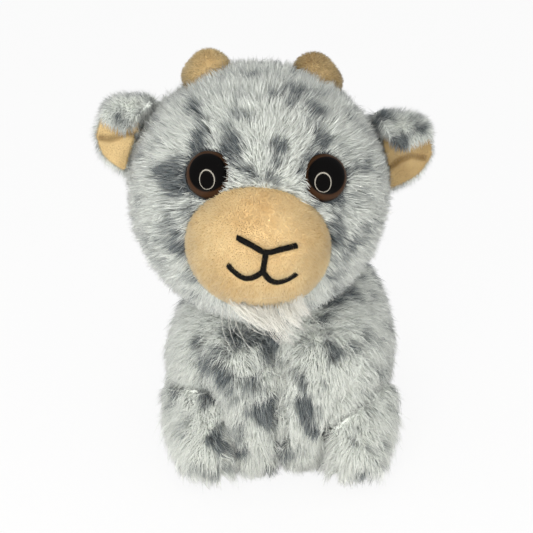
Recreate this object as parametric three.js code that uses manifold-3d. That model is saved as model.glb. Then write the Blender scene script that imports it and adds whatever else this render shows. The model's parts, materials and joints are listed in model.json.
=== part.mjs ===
// A seated plush goat, about 18 cm tall: a big round head with sewn horns, folded ears, a short-pile
// muzzle and safety eyes, on a plump torso with two front legs, two hind legs and a tail.
// Millimetres, +Z up. The goat faces -Y, its left side is +X, and it sits on Z = 0.
// The furry solids are drawn to the tips of their pile.
import * as THREE from "three";
import { mergeVertices } from "three/addons/utils/BufferGeometryUtils.js";
import Module from "manifold-3d";

const wasm = await Module();
wasm.setup();

const degrees = THREE.MathUtils.degToRad;
const vec = (x = 0, y = 0, z = 0) => new THREE.Vector3(x, y, z);

// Gap left between pieces that are sewn or pressed together.
const SEAM_GAP = 0.3;
// Gap left round a piece that swings in its seat.
const MOVING_GAP = 0.4;
// How deep a soft form sags into the surface that it sits on, before it is cut flat there.
const SAG = 0.5;

// Head: a ball of long fur, in its own frame, which faces -Y and is then tipped and turned.
const HEAD = {
  halfWidth: 52.5,
  halfDepth: 51,
  halfHeight: 52.5,
  aside: -9,
  forward: 6,
  height: 126,
  lookUp: degrees(15),
  lookSide: degrees(3.5),
  roll: degrees(3),
};
// Muzzle: an egg of short pile, sunk in the front of the head.
const MUZZLE = {
  halfWidth: 28,
  halfDepth: 24,
  halfHeight: 25.5,
  sunk: 12,
  drop: 13.8,
  aside: -2.2,
  roll: degrees(7),
};
// Torso: a plump barrel from the broad chest back to the rump, which lies a little to the goat's left.
const TORSO = {
  chestForward: 31,
  rumpBack: 74,
  chestAside: -7,
  rumpAside: 14,
  chestHeight: 51,
  bellyHeight: 37,
  rumpHeight: 49,
  chestHalfWidth: 55,
  bellyHalfWidth: 50,
  rumpHalfWidth: 43,
  chestHalfHeight: 41,
  bellyHalfHeight: 43,
  rumpHalfHeight: 40,
  fullness: 0.42,
  squareness: 0.86,
};
// Front leg: it hangs from a round shoulder, sewn in the side of the chest.
const FRONT_LEG = {
  shoulderOut: 18.5,
  shoulderForward: 25,
  shoulderHeight: 57,
  shoulderRadius: 13,
  shoulderFullness: 1.2,
  kneeOut: 11,
  kneeHeight: 28,
  pawOut: 10.8,
  kneeHalfWidth: 10.4,
  pawHalfWidth: 10.3,
  kneeHalfDepth: 11.5,
  pawHalfDepth: 12,
  squareness: 0.8,
};
// Hind leg: a thick thigh along the flank, with its foot turned forward.
const HIND_LEG = {
  hipOut: 30,
  hipBack: 34,
  hipHeight: 27,
  thighOut: 32,
  thighHeight: 25,
  toeForward: 46,
  toeHeight: 12,
  hipHalfWidth: 17,
  thighHalfWidth: 19,
  footHalfWidth: 17.5,
  hipHalfHeight: 28,
  thighHalfHeight: 26,
  footHalfHeight: 16,
  fullness: 0.45,
  clearOfFrontLeg: 1.4,
};
// How the legs rest: the left front paw is set back, and the right foot is turned in a little.
const LEG_POSE = {
  left: { kneeForward: 29.5, pawForward: 18, toeOut: 31 },
  right: { kneeForward: 29, pawForward: 24, toeOut: 28 },
};
// Tail: a short tuft on the rump, with a round root.
const TAIL = {
  rootRadius: 7.5,
  rootBehindRump: 3,
  height: 40,
  length: 18,
  tipHalf: 6,
  lift: degrees(25),
};

// Horn: a blunt stuffed cone of short pile. The left one is sewn on nearly upright.
const HORN = {
  out: degrees(24),
  back: degrees(8),
  baseRadius: 9.2,
  height: 9.6,
  sunk: 7,
  splay: { left: degrees(-3), right: degrees(9) },
  bluntness: 3,
};
// Beard: a loose tuft of long hair that hangs from under the muzzle.
const BEARD = {
  aside: 1,
  behindMuzzleTip: 22,
  length: 21,
  halfWidth: 13,
  halfDepth: 5,
  rootHidden: 6,
};
// Ear: a fur back and a short-pile lining, sewn flat along a rounded root. Just out from the root its
// upper part folds over forward into a flap. lowerEdge and foldLine are heights below and above the
// root's middle, from the root out to the tip.
const EAR = {
  lowerEdge: [17.5, 17, 15.5, 8],
  foldLine: [10.8, 6.7, 4.1, -0.5],
  flapFoot: -1.8,
  upperRoot: 16,
  foldRadius: 5.2,
  foldedBy: 3.5,
  backHalf: 2.6,
  liningThickness: 1.4,
  liningStart: 3.6,
  liningTuckedIn: 3,
  hem: 1,
  rootBack: degrees(5),
};
// How each ear sits: its height round the head, how far it stands out, how far its top folds over and
// how far forward it is swung. The right ear is pushed in a little.
const EAR_POSE = {
  left: { up: degrees(20), reach: 20, fold: degrees(165), forward: degrees(6) },
  right: { up: degrees(24.5), reach: 16, fold: degrees(168), forward: degrees(4) },
};

// Safety eye, pulled in so that it faces nearly ahead: a domed 18 mm button with a ribbed post, held inside the head by a press-on washer.
const EYE = {
  out: degrees(25.8),
  up: degrees(15),
  turnedIn: degrees(24),
  radius: 9,
  domeHeight: 5,
  rimHeight: 1.2,
  showing: 1,
  postRadius: 2,
  postLength: 12,
  ribs: 4,
  ribHeight: 0.35,
  ribPitch: 1.6,
};
const WASHER = { radius: 6.5, thickness: 1.6, behindButton: 3.4, teeth: 8, toothDepth: 1.1 };

// Seat panel and the pouch of beads above it, which keeps the goat upright.
const SEAT = { halfWidth: 18, halfLength: 24, thickness: 2.2, back: 20 };
const POUCH = { halfWidth: 15, halfLength: 21, height: 20 };

// Embroidered nose and mouth, measured in the muzzle's front view from its centre.
const STITCH = {
  halfWidth: 1,
  noseAside: 1,
  noseWide: 11.2,
  noseRise: 3.6,
  noseLevel: 1.8,
  lipLevel: -5.8,
  lipOut: 13,
  lipDrop: 3.6,
  lipLift: 4,
};

// Corners round a limb, and rings along it.
const LIMB_SIDES = 18;
const LIMB_RINGS = 12;
// Side of a block that is larger than the goat.
const ROOM = 1000;

const COLOUR = {
  greyFur: [0xcdd0cf, 0.95],
  tanPile: [0xdcb87c, 0.9],
  whiteHair: [0xe9e5da, 0.8],
  eyeBrown: [0x2a1409, 0.12],
  washerWhite: [0xe4e2dc, 0.6],
  thread: [0x101010, 0.7],
  pouchCloth: [0xe8e4dc, 0.95],
};

// A closed geometry as a solid that can be joined and cut.
function solidOf(geometry) {
  const bare = geometry.clone();
  bare.deleteAttribute("normal");
  bare.deleteAttribute("uv");
  const merged = mergeVertices(bare, 1e-4);
  return new wasm.Manifold(
    new wasm.Mesh({
      numProp: 3,
      vertProperties: new Float32Array(merged.attributes.position.array),
      triVerts: new Uint32Array(merged.index.array),
    }),
  );
}

// A solid as a BufferGeometry.
function geometryOf(solid) {
  const mesh = solid.getMesh();
  const geometry = new THREE.BufferGeometry();
  geometry.setAttribute("position", new THREE.BufferAttribute(mesh.vertProperties, mesh.numProp));
  geometry.setIndex(new THREE.BufferAttribute(mesh.triVerts, 1));
  geometry.computeVertexNormals();
  return geometry;
}

// A value part of the way along evenly spaced knots, on a smooth curve.
function along(knots, share) {
  const curve = new THREE.CatmullRomCurve3(knots.map((knot, i) => vec(knot, i, 0)));
  return curve.getPoint(share).x;
}

// A closed skin over rings of points that share one direction of travel, with a pole at each end.
function ringSkin(rings, startPole, endPole) {
  const sides = rings[0].length;
  const points = [startPole, ...rings.flat(), endPole];
  const at = (ring, side) => 1 + ring * sides + (side % sides);
  const end = points.length - 1;
  const faces = [];
  for (let side = 0; side < sides; side++) {
    faces.push(0, at(0, side), at(0, side + 1));
    faces.push(end, at(rings.length - 1, side + 1), at(rings.length - 1, side));
    for (let ring = 0; ring + 1 < rings.length; ring++) {
      faces.push(at(ring, side), at(ring + 1, side), at(ring + 1, side + 1));
      faces.push(at(ring, side), at(ring + 1, side + 1), at(ring, side + 1));
    }
  }
  const geometry = new THREE.BufferGeometry().setFromPoints(points);
  geometry.setIndex(faces);
  return geometry;
}

// A stuffed form: oval rings along a spine that swell and taper, with round ends.
// A low fullness number gives a plump barrel, and 1 gives an egg. squareness below 1 squares the
// ovals. grow moves the skin outwards.
function stuffed(form, grow = 0) {
  const { spine, halfWidths, halfHeights, fullness, squareness = 1 } = form;
  const { rings = LIMB_RINGS, sides = LIMB_SIDES } = form;
  const curve = new THREE.CatmullRomCurve3(spine);
  const oval = (value) => Math.sign(value) * Math.abs(value) ** squareness;
  const made = [];
  for (let ring = 1; ring < rings; ring++) {
    const angle = (Math.PI * ring) / rings;
    const share = (1 - Math.cos(angle)) / 2;
    const centre = curve.getPointAt(share);
    const heading = curve.getTangentAt(share);
    const across = vec(1, 0, 0).addScaledVector(heading, -heading.x).normalize();
    const up = across.clone().cross(heading);
    const swell = Math.sin(angle) ** fullness;
    const halfWide = along(halfWidths, share) * swell + grow;
    const halfHigh = along(halfHeights, share) * swell + grow;
    centre.addScaledVector(heading, -grow * Math.cos(angle));
    made.push(
      Array.from({ length: sides }, (_, side) => {
        const turn = (2 * Math.PI * side) / sides;
        const point = centre.clone().addScaledVector(across, halfWide * oval(Math.cos(turn)));
        return point.addScaledVector(up, halfHigh * oval(Math.sin(turn)));
      }),
    );
  }
  const start = curve.getPointAt(0).addScaledVector(curve.getTangentAt(0), -grow);
  const end = curve.getPointAt(1).addScaledVector(curve.getTangentAt(1), grow);
  return solidOf(ringSkin(made, start, end));
}

// An egg with the given half sizes, about the origin.
function egg(halfWidth, halfDepth, halfHeight, grow = 0, around = 28, down = 20) {
  const geometry = new THREE.SphereGeometry(1, around, down).rotateX(Math.PI / 2);
  return solidOf(geometry.scale(halfWidth + grow, halfDepth + grow, halfHeight + grow));
}

// A ball about a point.
function ball(centre, radius, around = 20, down = 14) {
  const geometry = new THREE.SphereGeometry(radius, around, down).rotateX(Math.PI / 2);
  return solidOf(geometry.translate(centre.x, centre.y, centre.z));
}

// A turned solid about Z, from points that run from its foot on the axis to its top on the axis.
function turned(profile, around = 24) {
  const points = profile.map(([radius, height]) => new THREE.Vector2(radius, height));
  return solidOf(new THREE.LatheGeometry(points, around).rotateX(Math.PI / 2));
}

// A solid moved by a matrix.
const moved = (solid, matrix) => solid.transform(matrix.elements);

// Everything from a height up, wide enough for any piece.
function above(height) {
  const block = new THREE.BoxGeometry(ROOM, ROOM, ROOM);
  return solidOf(block.translate(0, 0, height + ROOM / 2));
}

// The place and turn of a frame that stands at a point with its Z along a direction.
function standing(point, direction) {
  const turn = new THREE.Quaternion().setFromUnitVectors(vec(0, 0, 1), direction.clone().normalize());
  return new THREE.Matrix4().compose(point, turn, vec(1, 1, 1));
}

// The head's own frame in the part's frame, turned further about the neck by an angle.
function headPlace(turn = 0) {
  const tilt = new THREE.Euler(-HEAD.lookUp, HEAD.roll, HEAD.lookSide, "ZYX");
  const place = new THREE.Matrix4().makeRotationFromEuler(tilt);
  place.premultiply(new THREE.Matrix4().makeRotationZ(turn));
  return place.setPosition(HEAD.aside, -HEAD.forward, HEAD.height);
}

// A point of the head's surface and its outward normal, in the head's frame, from two angles:
// one towards the goat's left from straight ahead, and one up from level.
function onHead(aside, up) {
  const heading = vec(Math.sin(aside) * Math.cos(up), -Math.cos(aside) * Math.cos(up), Math.sin(up));
  const halves = vec(HEAD.halfWidth, HEAD.halfDepth, HEAD.halfHeight);
  const point = heading.divideScalar(heading.clone().divide(halves).length());
  const normal = point.clone().divide(halves).divide(halves).normalize();
  return { point, normal };
}

const headForm = (grow = 0) => egg(HEAD.halfWidth, HEAD.halfDepth, HEAD.halfHeight, grow);

// The muzzle's place in the head's frame.
function muzzlePlace() {
  const place = new THREE.Matrix4().makeRotationY(MUZZLE.roll);
  return place.setPosition(MUZZLE.aside, -(HEAD.halfDepth - MUZZLE.sunk), -MUZZLE.drop);
}

const muzzleForm = (grow = 0) => egg(MUZZLE.halfWidth, MUZZLE.halfDepth, MUZZLE.halfHeight, grow);

// Depth of the muzzle's surface in its front view.
function muzzleFront(x, z) {
  const share = 1 - (x / MUZZLE.halfWidth) ** 2 - (z / MUZZLE.halfHeight) ** 2;
  return vec(x, -MUZZLE.halfDepth * Math.sqrt(share), z);
}

function makeMuzzle() {
  return moved(muzzleForm(), muzzlePlace()).subtract(headForm(SEAM_GAP));
}

// One stroke of stitching: a round cord over the muzzle's surface, through points of its front view.
function stroke(points, steps) {
  const flat = new THREE.CatmullRomCurve3(points.map(([x, z]) => vec(x, 0, z)));
  const raised = flat.getSpacedPoints(steps).map(({ x, z }) => muzzleFront(x, z));
  const path = new THREE.CatmullRomCurve3(raised);
  const section = new THREE.Shape().absarc(0, 0, STITCH.halfWidth, 0, 2 * Math.PI);
  return solidOf(
    new THREE.ExtrudeGeometry(section, { steps, curveSegments: 4, extrudePath: path, bevelEnabled: false }),
  );
}

// Nose, lip line and smile in one run of satin stitch, raised from the muzzle.
function makeStitches() {
  const { noseAside, noseWide, noseRise, noseLevel, lipLevel, lipOut, lipDrop, lipLift } = STITCH;
  const nose = [
    [noseAside - noseWide, noseLevel + noseRise],
    [noseAside - noseWide / 2, noseLevel + noseRise / 2],
    [noseAside, noseLevel],
    [noseAside + noseWide / 2, noseLevel + noseRise / 2],
    [noseAside + noseWide, noseLevel + noseRise],
  ];
  const lip = (side) => [
    [noseAside, lipLevel],
    [noseAside + (side * lipOut) / 4, lipLevel - lipDrop * 0.8],
    [noseAside + (side * lipOut) / 2, lipLevel - lipDrop],
    [noseAside + side * lipOut * 0.8, lipLevel - lipDrop / 2],
    [noseAside + side * lipOut, lipLevel - lipDrop + lipLift],
  ];
  const bar = [
    [noseAside, noseLevel],
    [noseAside, lipLevel],
  ];
  const lips = stroke(lip(1), 9).add(stroke(lip(-1), 9));
  const run = stroke(nose, 10).add(stroke(bar, 4)).add(lips);
  return moved(run.subtract(muzzleForm(SEAM_GAP / 2)), muzzlePlace());
}

// The eye's place: its Z runs out of the head, and its origin is the back of the button.
function eyePlace(side) {
  const { point, normal } = onHead(side * EYE.out, EYE.up);
  const facing = normal.applyAxisAngle(vec(0, 0, 1), -side * EYE.turnedIn);
  return standing(point.addScaledVector(facing, EYE.showing - EYE.domeHeight - EYE.rimHeight), facing);
}

// Domed button and ribbed post in one moulding.
function makeEye(side) {
  const { radius, domeHeight, rimHeight, postRadius, postLength, ribs, ribHeight, ribPitch } = EYE;
  const post = [
    [0, -postLength],
    [postRadius * 0.6, -postLength],
  ];
  for (let rib = ribs; rib > 0; rib--) {
    const foot = -WASHER.behindButton - WASHER.thickness / 2 - (rib - 2) * ribPitch;
    post.push([postRadius, foot - ribPitch * 0.9]);
    post.push([postRadius - ribHeight, foot - ribPitch * 0.1]);
  }
  const dome = Array.from({ length: 8 }, (_, i) => {
    const angle = ((Math.PI / 2) * i) / 7;
    return [radius * Math.cos(angle), rimHeight + domeHeight * Math.sin(angle)];
  });
  dome[dome.length - 1][0] = 0;
  const button = [[postRadius - ribHeight, 0], [radius, 0], ...dome];
  return moved(turned([...post, ...button], 20), eyePlace(side));
}

// Press-on washer: a disc whose bore has teeth that grip the post's ribs.
function makeWasher(side) {
  const outer = new THREE.Shape().absarc(0, 0, WASHER.radius, 0, 2 * Math.PI);
  const bore = new THREE.Path();
  const inside = EYE.postRadius + SEAM_GAP;
  for (let step = 0; step < WASHER.teeth * 2; step++) {
    const angle = (Math.PI * step) / WASHER.teeth;
    const radius = step % 2 ? inside + WASHER.toothDepth : inside;
    const corner = [radius * Math.cos(angle), radius * Math.sin(angle)];
    if (step) bore.lineTo(...corner);
    else bore.moveTo(...corner);
  }
  bore.closePath();
  outer.holes.push(bore);
  const disc = new THREE.ExtrudeGeometry(outer, {
    depth: WASHER.thickness,
    bevelEnabled: false,
    curveSegments: 12,
  });
  disc.translate(0, 0, -WASHER.behindButton - WASHER.thickness);
  return moved(solidOf(disc), eyePlace(side));
}

// The room that an eye takes in the head: the button's well, the post's hole and the washer's pocket.
function eyeRoom(side) {
  const { radius, postRadius, postLength } = EYE;
  const pocketTop = SEAM_GAP - WASHER.behindButton;
  const pocketFoot = -WASHER.behindButton - WASHER.thickness - SEAM_GAP;
  const room = turned([
    [0, -postLength - SEAM_GAP],
    [postRadius + SEAM_GAP, -postLength - SEAM_GAP],
    [postRadius + SEAM_GAP, pocketFoot],
    [WASHER.radius + SEAM_GAP, pocketFoot],
    [WASHER.radius + SEAM_GAP, pocketTop],
    [postRadius + SEAM_GAP, pocketTop],
    [postRadius + SEAM_GAP, -SEAM_GAP],
    [radius + SEAM_GAP, -SEAM_GAP],
    [radius + SEAM_GAP, EYE.domeHeight * 3],
    [0, EYE.domeHeight * 3],
  ]);
  return moved(room, eyePlace(side));
}

function makeHead() {
  return headForm().subtract(eyeRoom(1)).subtract(eyeRoom(-1));
}

// A horn stands on the crown, leans by its splay and rounds in to a blunt tip.
function makeHorn(side) {
  const { point } = onHead(side * (Math.PI / 2 + HORN.back), Math.PI / 2 - HORN.out);
  const splay = side > 0 ? HORN.splay.left : HORN.splay.right;
  const lean = vec(side * Math.sin(splay), 0, Math.cos(splay));
  const steps = 9;
  const profile = [[0, -HORN.sunk]];
  for (let step = 0; step <= steps; step++) {
    const share = Math.sin(((Math.PI / 2) * step) / steps);
    const radius = HORN.baseRadius * Math.sqrt(1 - share ** HORN.bluntness);
    profile.push([step < steps ? radius : 0, (HORN.height + HORN.sunk) * share - HORN.sunk]);
  }
  return moved(turned(profile, 18), standing(point, lean)).subtract(headForm(SEAM_GAP));
}

// The beard hangs straight down from under the muzzle and thins to its tip.
function makeBeard() {
  const top = -MUZZLE.drop - MUZZLE.halfHeight + BEARD.rootHidden;
  const y = -(HEAD.halfDepth - MUZZLE.sunk + MUZZLE.halfDepth) + BEARD.behindMuzzleTip;
  const down = vec(0, Math.sin(HEAD.lookUp), -Math.cos(HEAD.lookUp));
  const start = vec(BEARD.aside, y, top);
  const end = start.clone().addScaledVector(down, BEARD.length);
  const form = stuffed({
    spine: [start, start.clone().lerp(end, 0.5), end],
    halfWidths: [BEARD.halfWidth, BEARD.halfWidth, BEARD.halfWidth * 0.5],
    halfHeights: [BEARD.halfDepth, BEARD.halfDepth, BEARD.halfDepth * 0.4],
    fullness: 0.6,
    rings: 8,
    sides: 14,
  });
  return form.subtract(moved(muzzleForm(SEAM_GAP), muzzlePlace())).subtract(headForm(SEAM_GAP));
}

// How far a value has gone from 0 to 1, easing in and out.
const eased = (value) => THREE.MathUtils.smoothstep(value, 0, 1);

// An ear's section at a distance out from the root: its two edges, its fold line and its fold.
function earSection(pose, out) {
  const share = THREE.MathUtils.clamp(out / pose.reach, 0, 1);
  const folded = eased(out / EAR.foldedBy);
  const line = along(EAR.foldLine, share);
  const flapEdge = line + EAR.foldRadius * pose.fold + line - EAR.flapFoot;
  return {
    foot: -along(EAR.lowerEdge, share),
    top: THREE.MathUtils.lerp(EAR.upperRoot, flapEdge, folded),
    line,
    fold: pose.fold * folded,
  };
}

// A point of the ear's middle surface, and which way its front faces, at a height up the section.
// Above the fold line the sheet bends forward on a round, and then runs straight again.
function earMiddle({ line, fold }, out, up) {
  const past = up - line;
  const bend = THREE.MathUtils.clamp(past / EAR.foldRadius, 0, fold);
  const straight = past - EAR.foldRadius * bend;
  const point = vec(
    out,
    EAR.foldRadius * (1 - Math.cos(bend)) + straight * Math.sin(bend),
    line + EAR.foldRadius * Math.sin(bend) + straight * Math.cos(bend),
  );
  return { point, facing: vec(0, Math.cos(bend), -Math.sin(bend)) };
}

// One cross-section of an ear layer, as a closed ring: up its front face and down its back face.
// X runs out of the head, Y runs forward to the lining's side and Z runs up the root. tuck draws the
// part below the fold in towards the head.
function earRing(pose, out, low, high, trim, tuck) {
  const steps = 16;
  const section = earSection(pose, out);
  const foot = section.foot + trim;
  const top = section.top - trim;
  const front = [];
  const back = [];
  for (let step = 0; step <= steps; step++) {
    const place = step / steps;
    const up = foot + (top - foot) * place;
    const rounding = Math.max(0.35, Math.sqrt(1 - (2 * place - 1) ** 6));
    const { point, facing } = earMiddle(section, out, up);
    point.x -= tuck * (1 - eased((up - section.line + 8) / 8));
    const reach = ((high - low) / 2) * rounding;
    front.push(point.clone().addScaledVector(facing, (low + high) / 2 + reach));
    back.unshift(point.clone().addScaledVector(facing, (low + high) / 2 - reach));
  }
  return [...front, ...back];
}

// The head's surface falls away from the middle of an ear's root.
const rootDrop = (up) => up ** 2 / (2 * HEAD.halfHeight);

// A closed skin over the rings of a flat layer, each end closed between its two faces.
function layerSkin(rings) {
  const sides = rings[0].length;
  const at = (ring, side) => ring * sides + (side % sides);
  const faces = [];
  for (let ring = 0; ring + 1 < rings.length; ring++)
    for (let side = 0; side < sides; side++) {
      faces.push(at(ring, side), at(ring, side + 1), at(ring + 1, side + 1));
      faces.push(at(ring, side), at(ring + 1, side + 1), at(ring + 1, side));
    }
  const end = rings.length - 1;
  for (let side = 0; side + 1 < sides / 2; side++) {
    const across = sides - 1 - side;
    faces.push(at(0, side), at(0, across), at(0, across - 1));
    faces.push(at(0, side), at(0, across - 1), at(0, side + 1));
    faces.push(at(end, side), at(end, across - 1), at(end, across));
    faces.push(at(end, side), at(end, side + 1), at(end, across - 1));
  }
  const geometry = new THREE.BufferGeometry().setFromPoints(rings.flat());
  geometry.setIndex(faces);
  return geometry;
}

// A layer of an ear between two depths, from a start to an end, with its ends rounded by a radius.
function earLayer(pose, start, end, low, high, trim = 0, tuckedIn = 0) {
  const roundSteps = 3;
  const half = (high - low) / 2;
  const middle = (low + high) / 2;
  const rings = [];
  const addRing = (out, share) => {
    const tuck = (tuckedIn * (end - out)) / (end - start);
    const ring = earRing(pose, out, middle - half * share, middle + half * share, trim, tuck);
    ring.forEach((point) => (point.x -= rootDrop(point.z)));
    rings.push(ring);
  };
  for (let step = 1; step <= roundSteps; step++) {
    const angle = ((Math.PI / 2) * step) / roundSteps;
    addRing(start - half * Math.cos(angle), Math.sin(angle));
  }
  const middles = 7;
  for (let step = 1; step < middles; step++) addRing(start + ((end - half - start) * step) / middles, 1);
  for (let step = roundSteps; step > 0; step--) {
    const angle = ((Math.PI / 2) * step) / roundSteps;
    addRing(end - half + half * Math.cos(angle), Math.sin(angle));
  }
  return layerSkin(rings);
}

// The ear's place on the head: its hinge line lies along the root, just off the fur.
function earPlace(side) {
  const pose = side > 0 ? EAR_POSE.left : EAR_POSE.right;
  const { point, normal } = onHead(side * (Math.PI / 2 + EAR.rootBack), pose.up);
  const root = point.addScaledVector(normal, EAR.backHalf + MOVING_GAP);
  const ahead = vec(0, -1, 0).addScaledVector(normal, normal.y).normalize();
  const up = normal.clone().cross(ahead).multiplyScalar(side > 0 ? -1 : 1);
  const basis = new THREE.Matrix4().makeBasis(normal, ahead, up);
  const swing = new THREE.Matrix4().makeRotationZ(pose.forward);
  return { pose, root, up, matrix: basis.multiply(swing).setPosition(root) };
}

function makeEarBack(side) {
  const { pose, matrix } = earPlace(side);
  const layer = earLayer(pose, 0, pose.reach, -EAR.backHalf, EAR.backHalf);
  return moved(solidOf(layer), matrix);
}

function makeEarLining(side) {
  const { pose, matrix } = earPlace(side);
  const low = EAR.backHalf + SEAM_GAP * 2;
  const high = low + EAR.liningThickness;
  const end = pose.reach - EAR.hem;
  const layer = earLayer(pose, EAR.liningStart, end, low, high, EAR.hem, EAR.liningTuckedIn);
  return moved(solidOf(layer), matrix);
}

// Torso, before anything is cut from it.
function torsoForm(grow = 0) {
  const torso = TORSO;
  const chest = vec(torso.chestAside, -torso.chestForward, torso.chestHeight);
  const rump = vec(torso.rumpAside, torso.rumpBack, torso.rumpHeight);
  return stuffed(
    {
      spine: [chest, chest.clone().lerp(rump, 0.5).setZ(torso.bellyHeight), rump],
      halfWidths: [torso.chestHalfWidth, torso.bellyHalfWidth, torso.rumpHalfWidth],
      halfHeights: [torso.chestHalfHeight, torso.bellyHalfHeight, torso.rumpHalfHeight],
      fullness: torso.fullness,
      squareness: torso.squareness,
      rings: 16,
      sides: 26,
    },
    grow,
  );
}

const legPose = (side) => (side > 0 ? LEG_POSE.left : LEG_POSE.right);

const shoulder = (side) =>
  vec(side * FRONT_LEG.shoulderOut, -FRONT_LEG.shoulderForward, FRONT_LEG.shoulderHeight);

const shoulderBall = (side, grow = 0) => ball(shoulder(side), FRONT_LEG.shoulderRadius + grow);

// Front leg below the shoulder, before the torso is cut from it.
function frontLegForm(side) {
  const leg = FRONT_LEG;
  const pose = legPose(side);
  const middle = shoulder(side);
  const shoulderHalf = leg.shoulderRadius * leg.shoulderFullness;
  const form = stuffed({
    spine: [
      middle.clone().add(vec(0, 0, leg.shoulderRadius)),
      vec(side * leg.kneeOut, -pose.kneeForward, leg.kneeHeight),
      vec(side * leg.pawOut, -pose.pawForward, -SAG * 6),
    ],
    halfWidths: [shoulderHalf, leg.kneeHalfWidth, leg.pawHalfWidth],
    halfHeights: [shoulderHalf, leg.kneeHalfDepth, leg.pawHalfDepth],
    fullness: 0.3,
    squareness: leg.squareness,
  });
  return form.subtract(above(middle.z));
}

function makeFrontLeg(side) {
  const lower = frontLegForm(side).subtract(torsoForm(MOVING_GAP));
  return lower.add(shoulderBall(side)).intersect(above(0));
}

// The lane between the hind legs that both front legs swing forward through.
function frontLegLane() {
  const width = 2 * (FRONT_LEG.kneeOut + FRONT_LEG.kneeHalfWidth + HIND_LEG.clearOfFrontLeg);
  const lane = new THREE.BoxGeometry(width, HIND_LEG.toeForward * 2, HIND_LEG.thighHeight * 4);
  return solidOf(lane.translate(0, -HIND_LEG.toeForward, 0));
}

function hindLegForm(side) {
  const leg = HIND_LEG;
  return stuffed({
    spine: [
      vec(side * leg.hipOut, leg.hipBack, leg.hipHeight),
      vec(side * leg.thighOut, (leg.hipBack - leg.toeForward) / 2, leg.thighHeight),
      vec(side * legPose(side).toeOut, -leg.toeForward, leg.toeHeight),
    ],
    halfWidths: [leg.hipHalfWidth, leg.thighHalfWidth, leg.footHalfWidth],
    halfHeights: [leg.hipHalfHeight, leg.thighHalfHeight, leg.footHalfHeight],
    fullness: leg.fullness,
  });
}

function makeHindLeg(side) {
  return hindLegForm(side).subtract(torsoForm(SEAM_GAP)).subtract(frontLegLane()).intersect(above(0));
}

const tailRoot = () => vec(TORSO.rumpAside, TORSO.rumpBack + TAIL.rootBehindRump, TAIL.height);

function makeTail() {
  const back = vec(0, Math.cos(TAIL.lift), Math.sin(TAIL.lift));
  const root = tailRoot();
  const tip = root.clone().addScaledVector(back, TAIL.length);
  const form = stuffed({
    spine: [root, root.clone().lerp(tip, 0.5), tip],
    halfWidths: [TAIL.rootRadius, TAIL.rootRadius, TAIL.tipHalf],
    halfHeights: [TAIL.rootRadius, TAIL.rootRadius, TAIL.tipHalf],
    fullness: 0.6,
    rings: 8,
    sides: 14,
  });
  return form.add(ball(root, TAIL.rootRadius, 14, 10));
}

// An upright oval block between two heights.
function ovalBlock(halfWidth, halfLength, foot, top) {
  const outline = new THREE.Shape().absellipse(0, 0, halfWidth, halfLength, 0, 2 * Math.PI);
  const block = new THREE.ExtrudeGeometry(outline, {
    depth: top - foot,
    bevelEnabled: false,
    curveSegments: 16,
  });
  return solidOf(block.translate(0, SEAT.back, foot));
}

const makeSeatPanel = () => ovalBlock(SEAT.halfWidth, SEAT.halfLength, 0, SEAT.thickness);

function makePouch() {
  const foot = SEAT.thickness + SEAM_GAP;
  const centre = new THREE.Matrix4().makeTranslation(0, SEAT.back, foot);
  const form = egg(POUCH.halfWidth, POUCH.halfLength, POUCH.height, 0, 20, 14);
  return moved(form, centre).intersect(above(foot));
}

// The hollow in the torso that holds the pouch, closed below by the seat panel.
function seatRoom() {
  const panelTop = SEAT.thickness + SEAM_GAP;
  const panel = ovalBlock(SEAT.halfWidth + SEAM_GAP, SEAT.halfLength + SEAM_GAP, -panelTop, panelTop);
  const pouchTop = panelTop + POUCH.height + SEAM_GAP;
  return panel.add(ovalBlock(POUCH.halfWidth + SEAM_GAP, POUCH.halfLength + SEAM_GAP, 0, pouchTop));
}

// The round seat in the torso that the head turns in.
function headSeat() {
  const half = Math.max(HEAD.halfWidth, HEAD.halfDepth);
  const centre = new THREE.Matrix4().makeTranslation(HEAD.aside, -HEAD.forward, HEAD.height);
  return moved(egg(half, half, HEAD.halfHeight, MOVING_GAP, 32, 24), centre);
}

function makeTorso() {
  let torso = torsoForm().intersect(above(0));
  torso = torso.subtract(headSeat());
  for (const side of [1, -1]) torso = torso.subtract(shoulderBall(side, MOVING_GAP));
  torso = torso.subtract(ball(tailRoot(), TAIL.rootRadius + MOVING_GAP, 14, 10));
  return torso.subtract(seatRoom());
}

function meshOf(name, solid, [colour, roughness]) {
  const material = new THREE.MeshStandardMaterial({ color: colour, roughness, metalness: 0 });
  const mesh = new THREE.Mesh(geometryOf(solid), material);
  mesh.name = name;
  return mesh;
}

const head = new THREE.Group();
headPlace().decompose(head.position, head.quaternion, head.scale);
head.add(meshOf("head", makeHead(), COLOUR.greyFur));
head.add(meshOf("muzzle", makeMuzzle(), COLOUR.tanPile));
head.add(meshOf("face_embroidery", makeStitches(), COLOUR.thread));
head.add(meshOf("beard", makeBeard(), COLOUR.whiteHair));

const goat = new THREE.Group();
goat.add(head);
goat.add(meshOf("torso", makeTorso(), COLOUR.greyFur));
goat.add(meshOf("tail", makeTail(), COLOUR.greyFur));
goat.add(meshOf("seat_panel", makeSeatPanel(), COLOUR.pouchCloth));
goat.add(meshOf("bean_pouch", makePouch(), COLOUR.pouchCloth));

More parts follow.
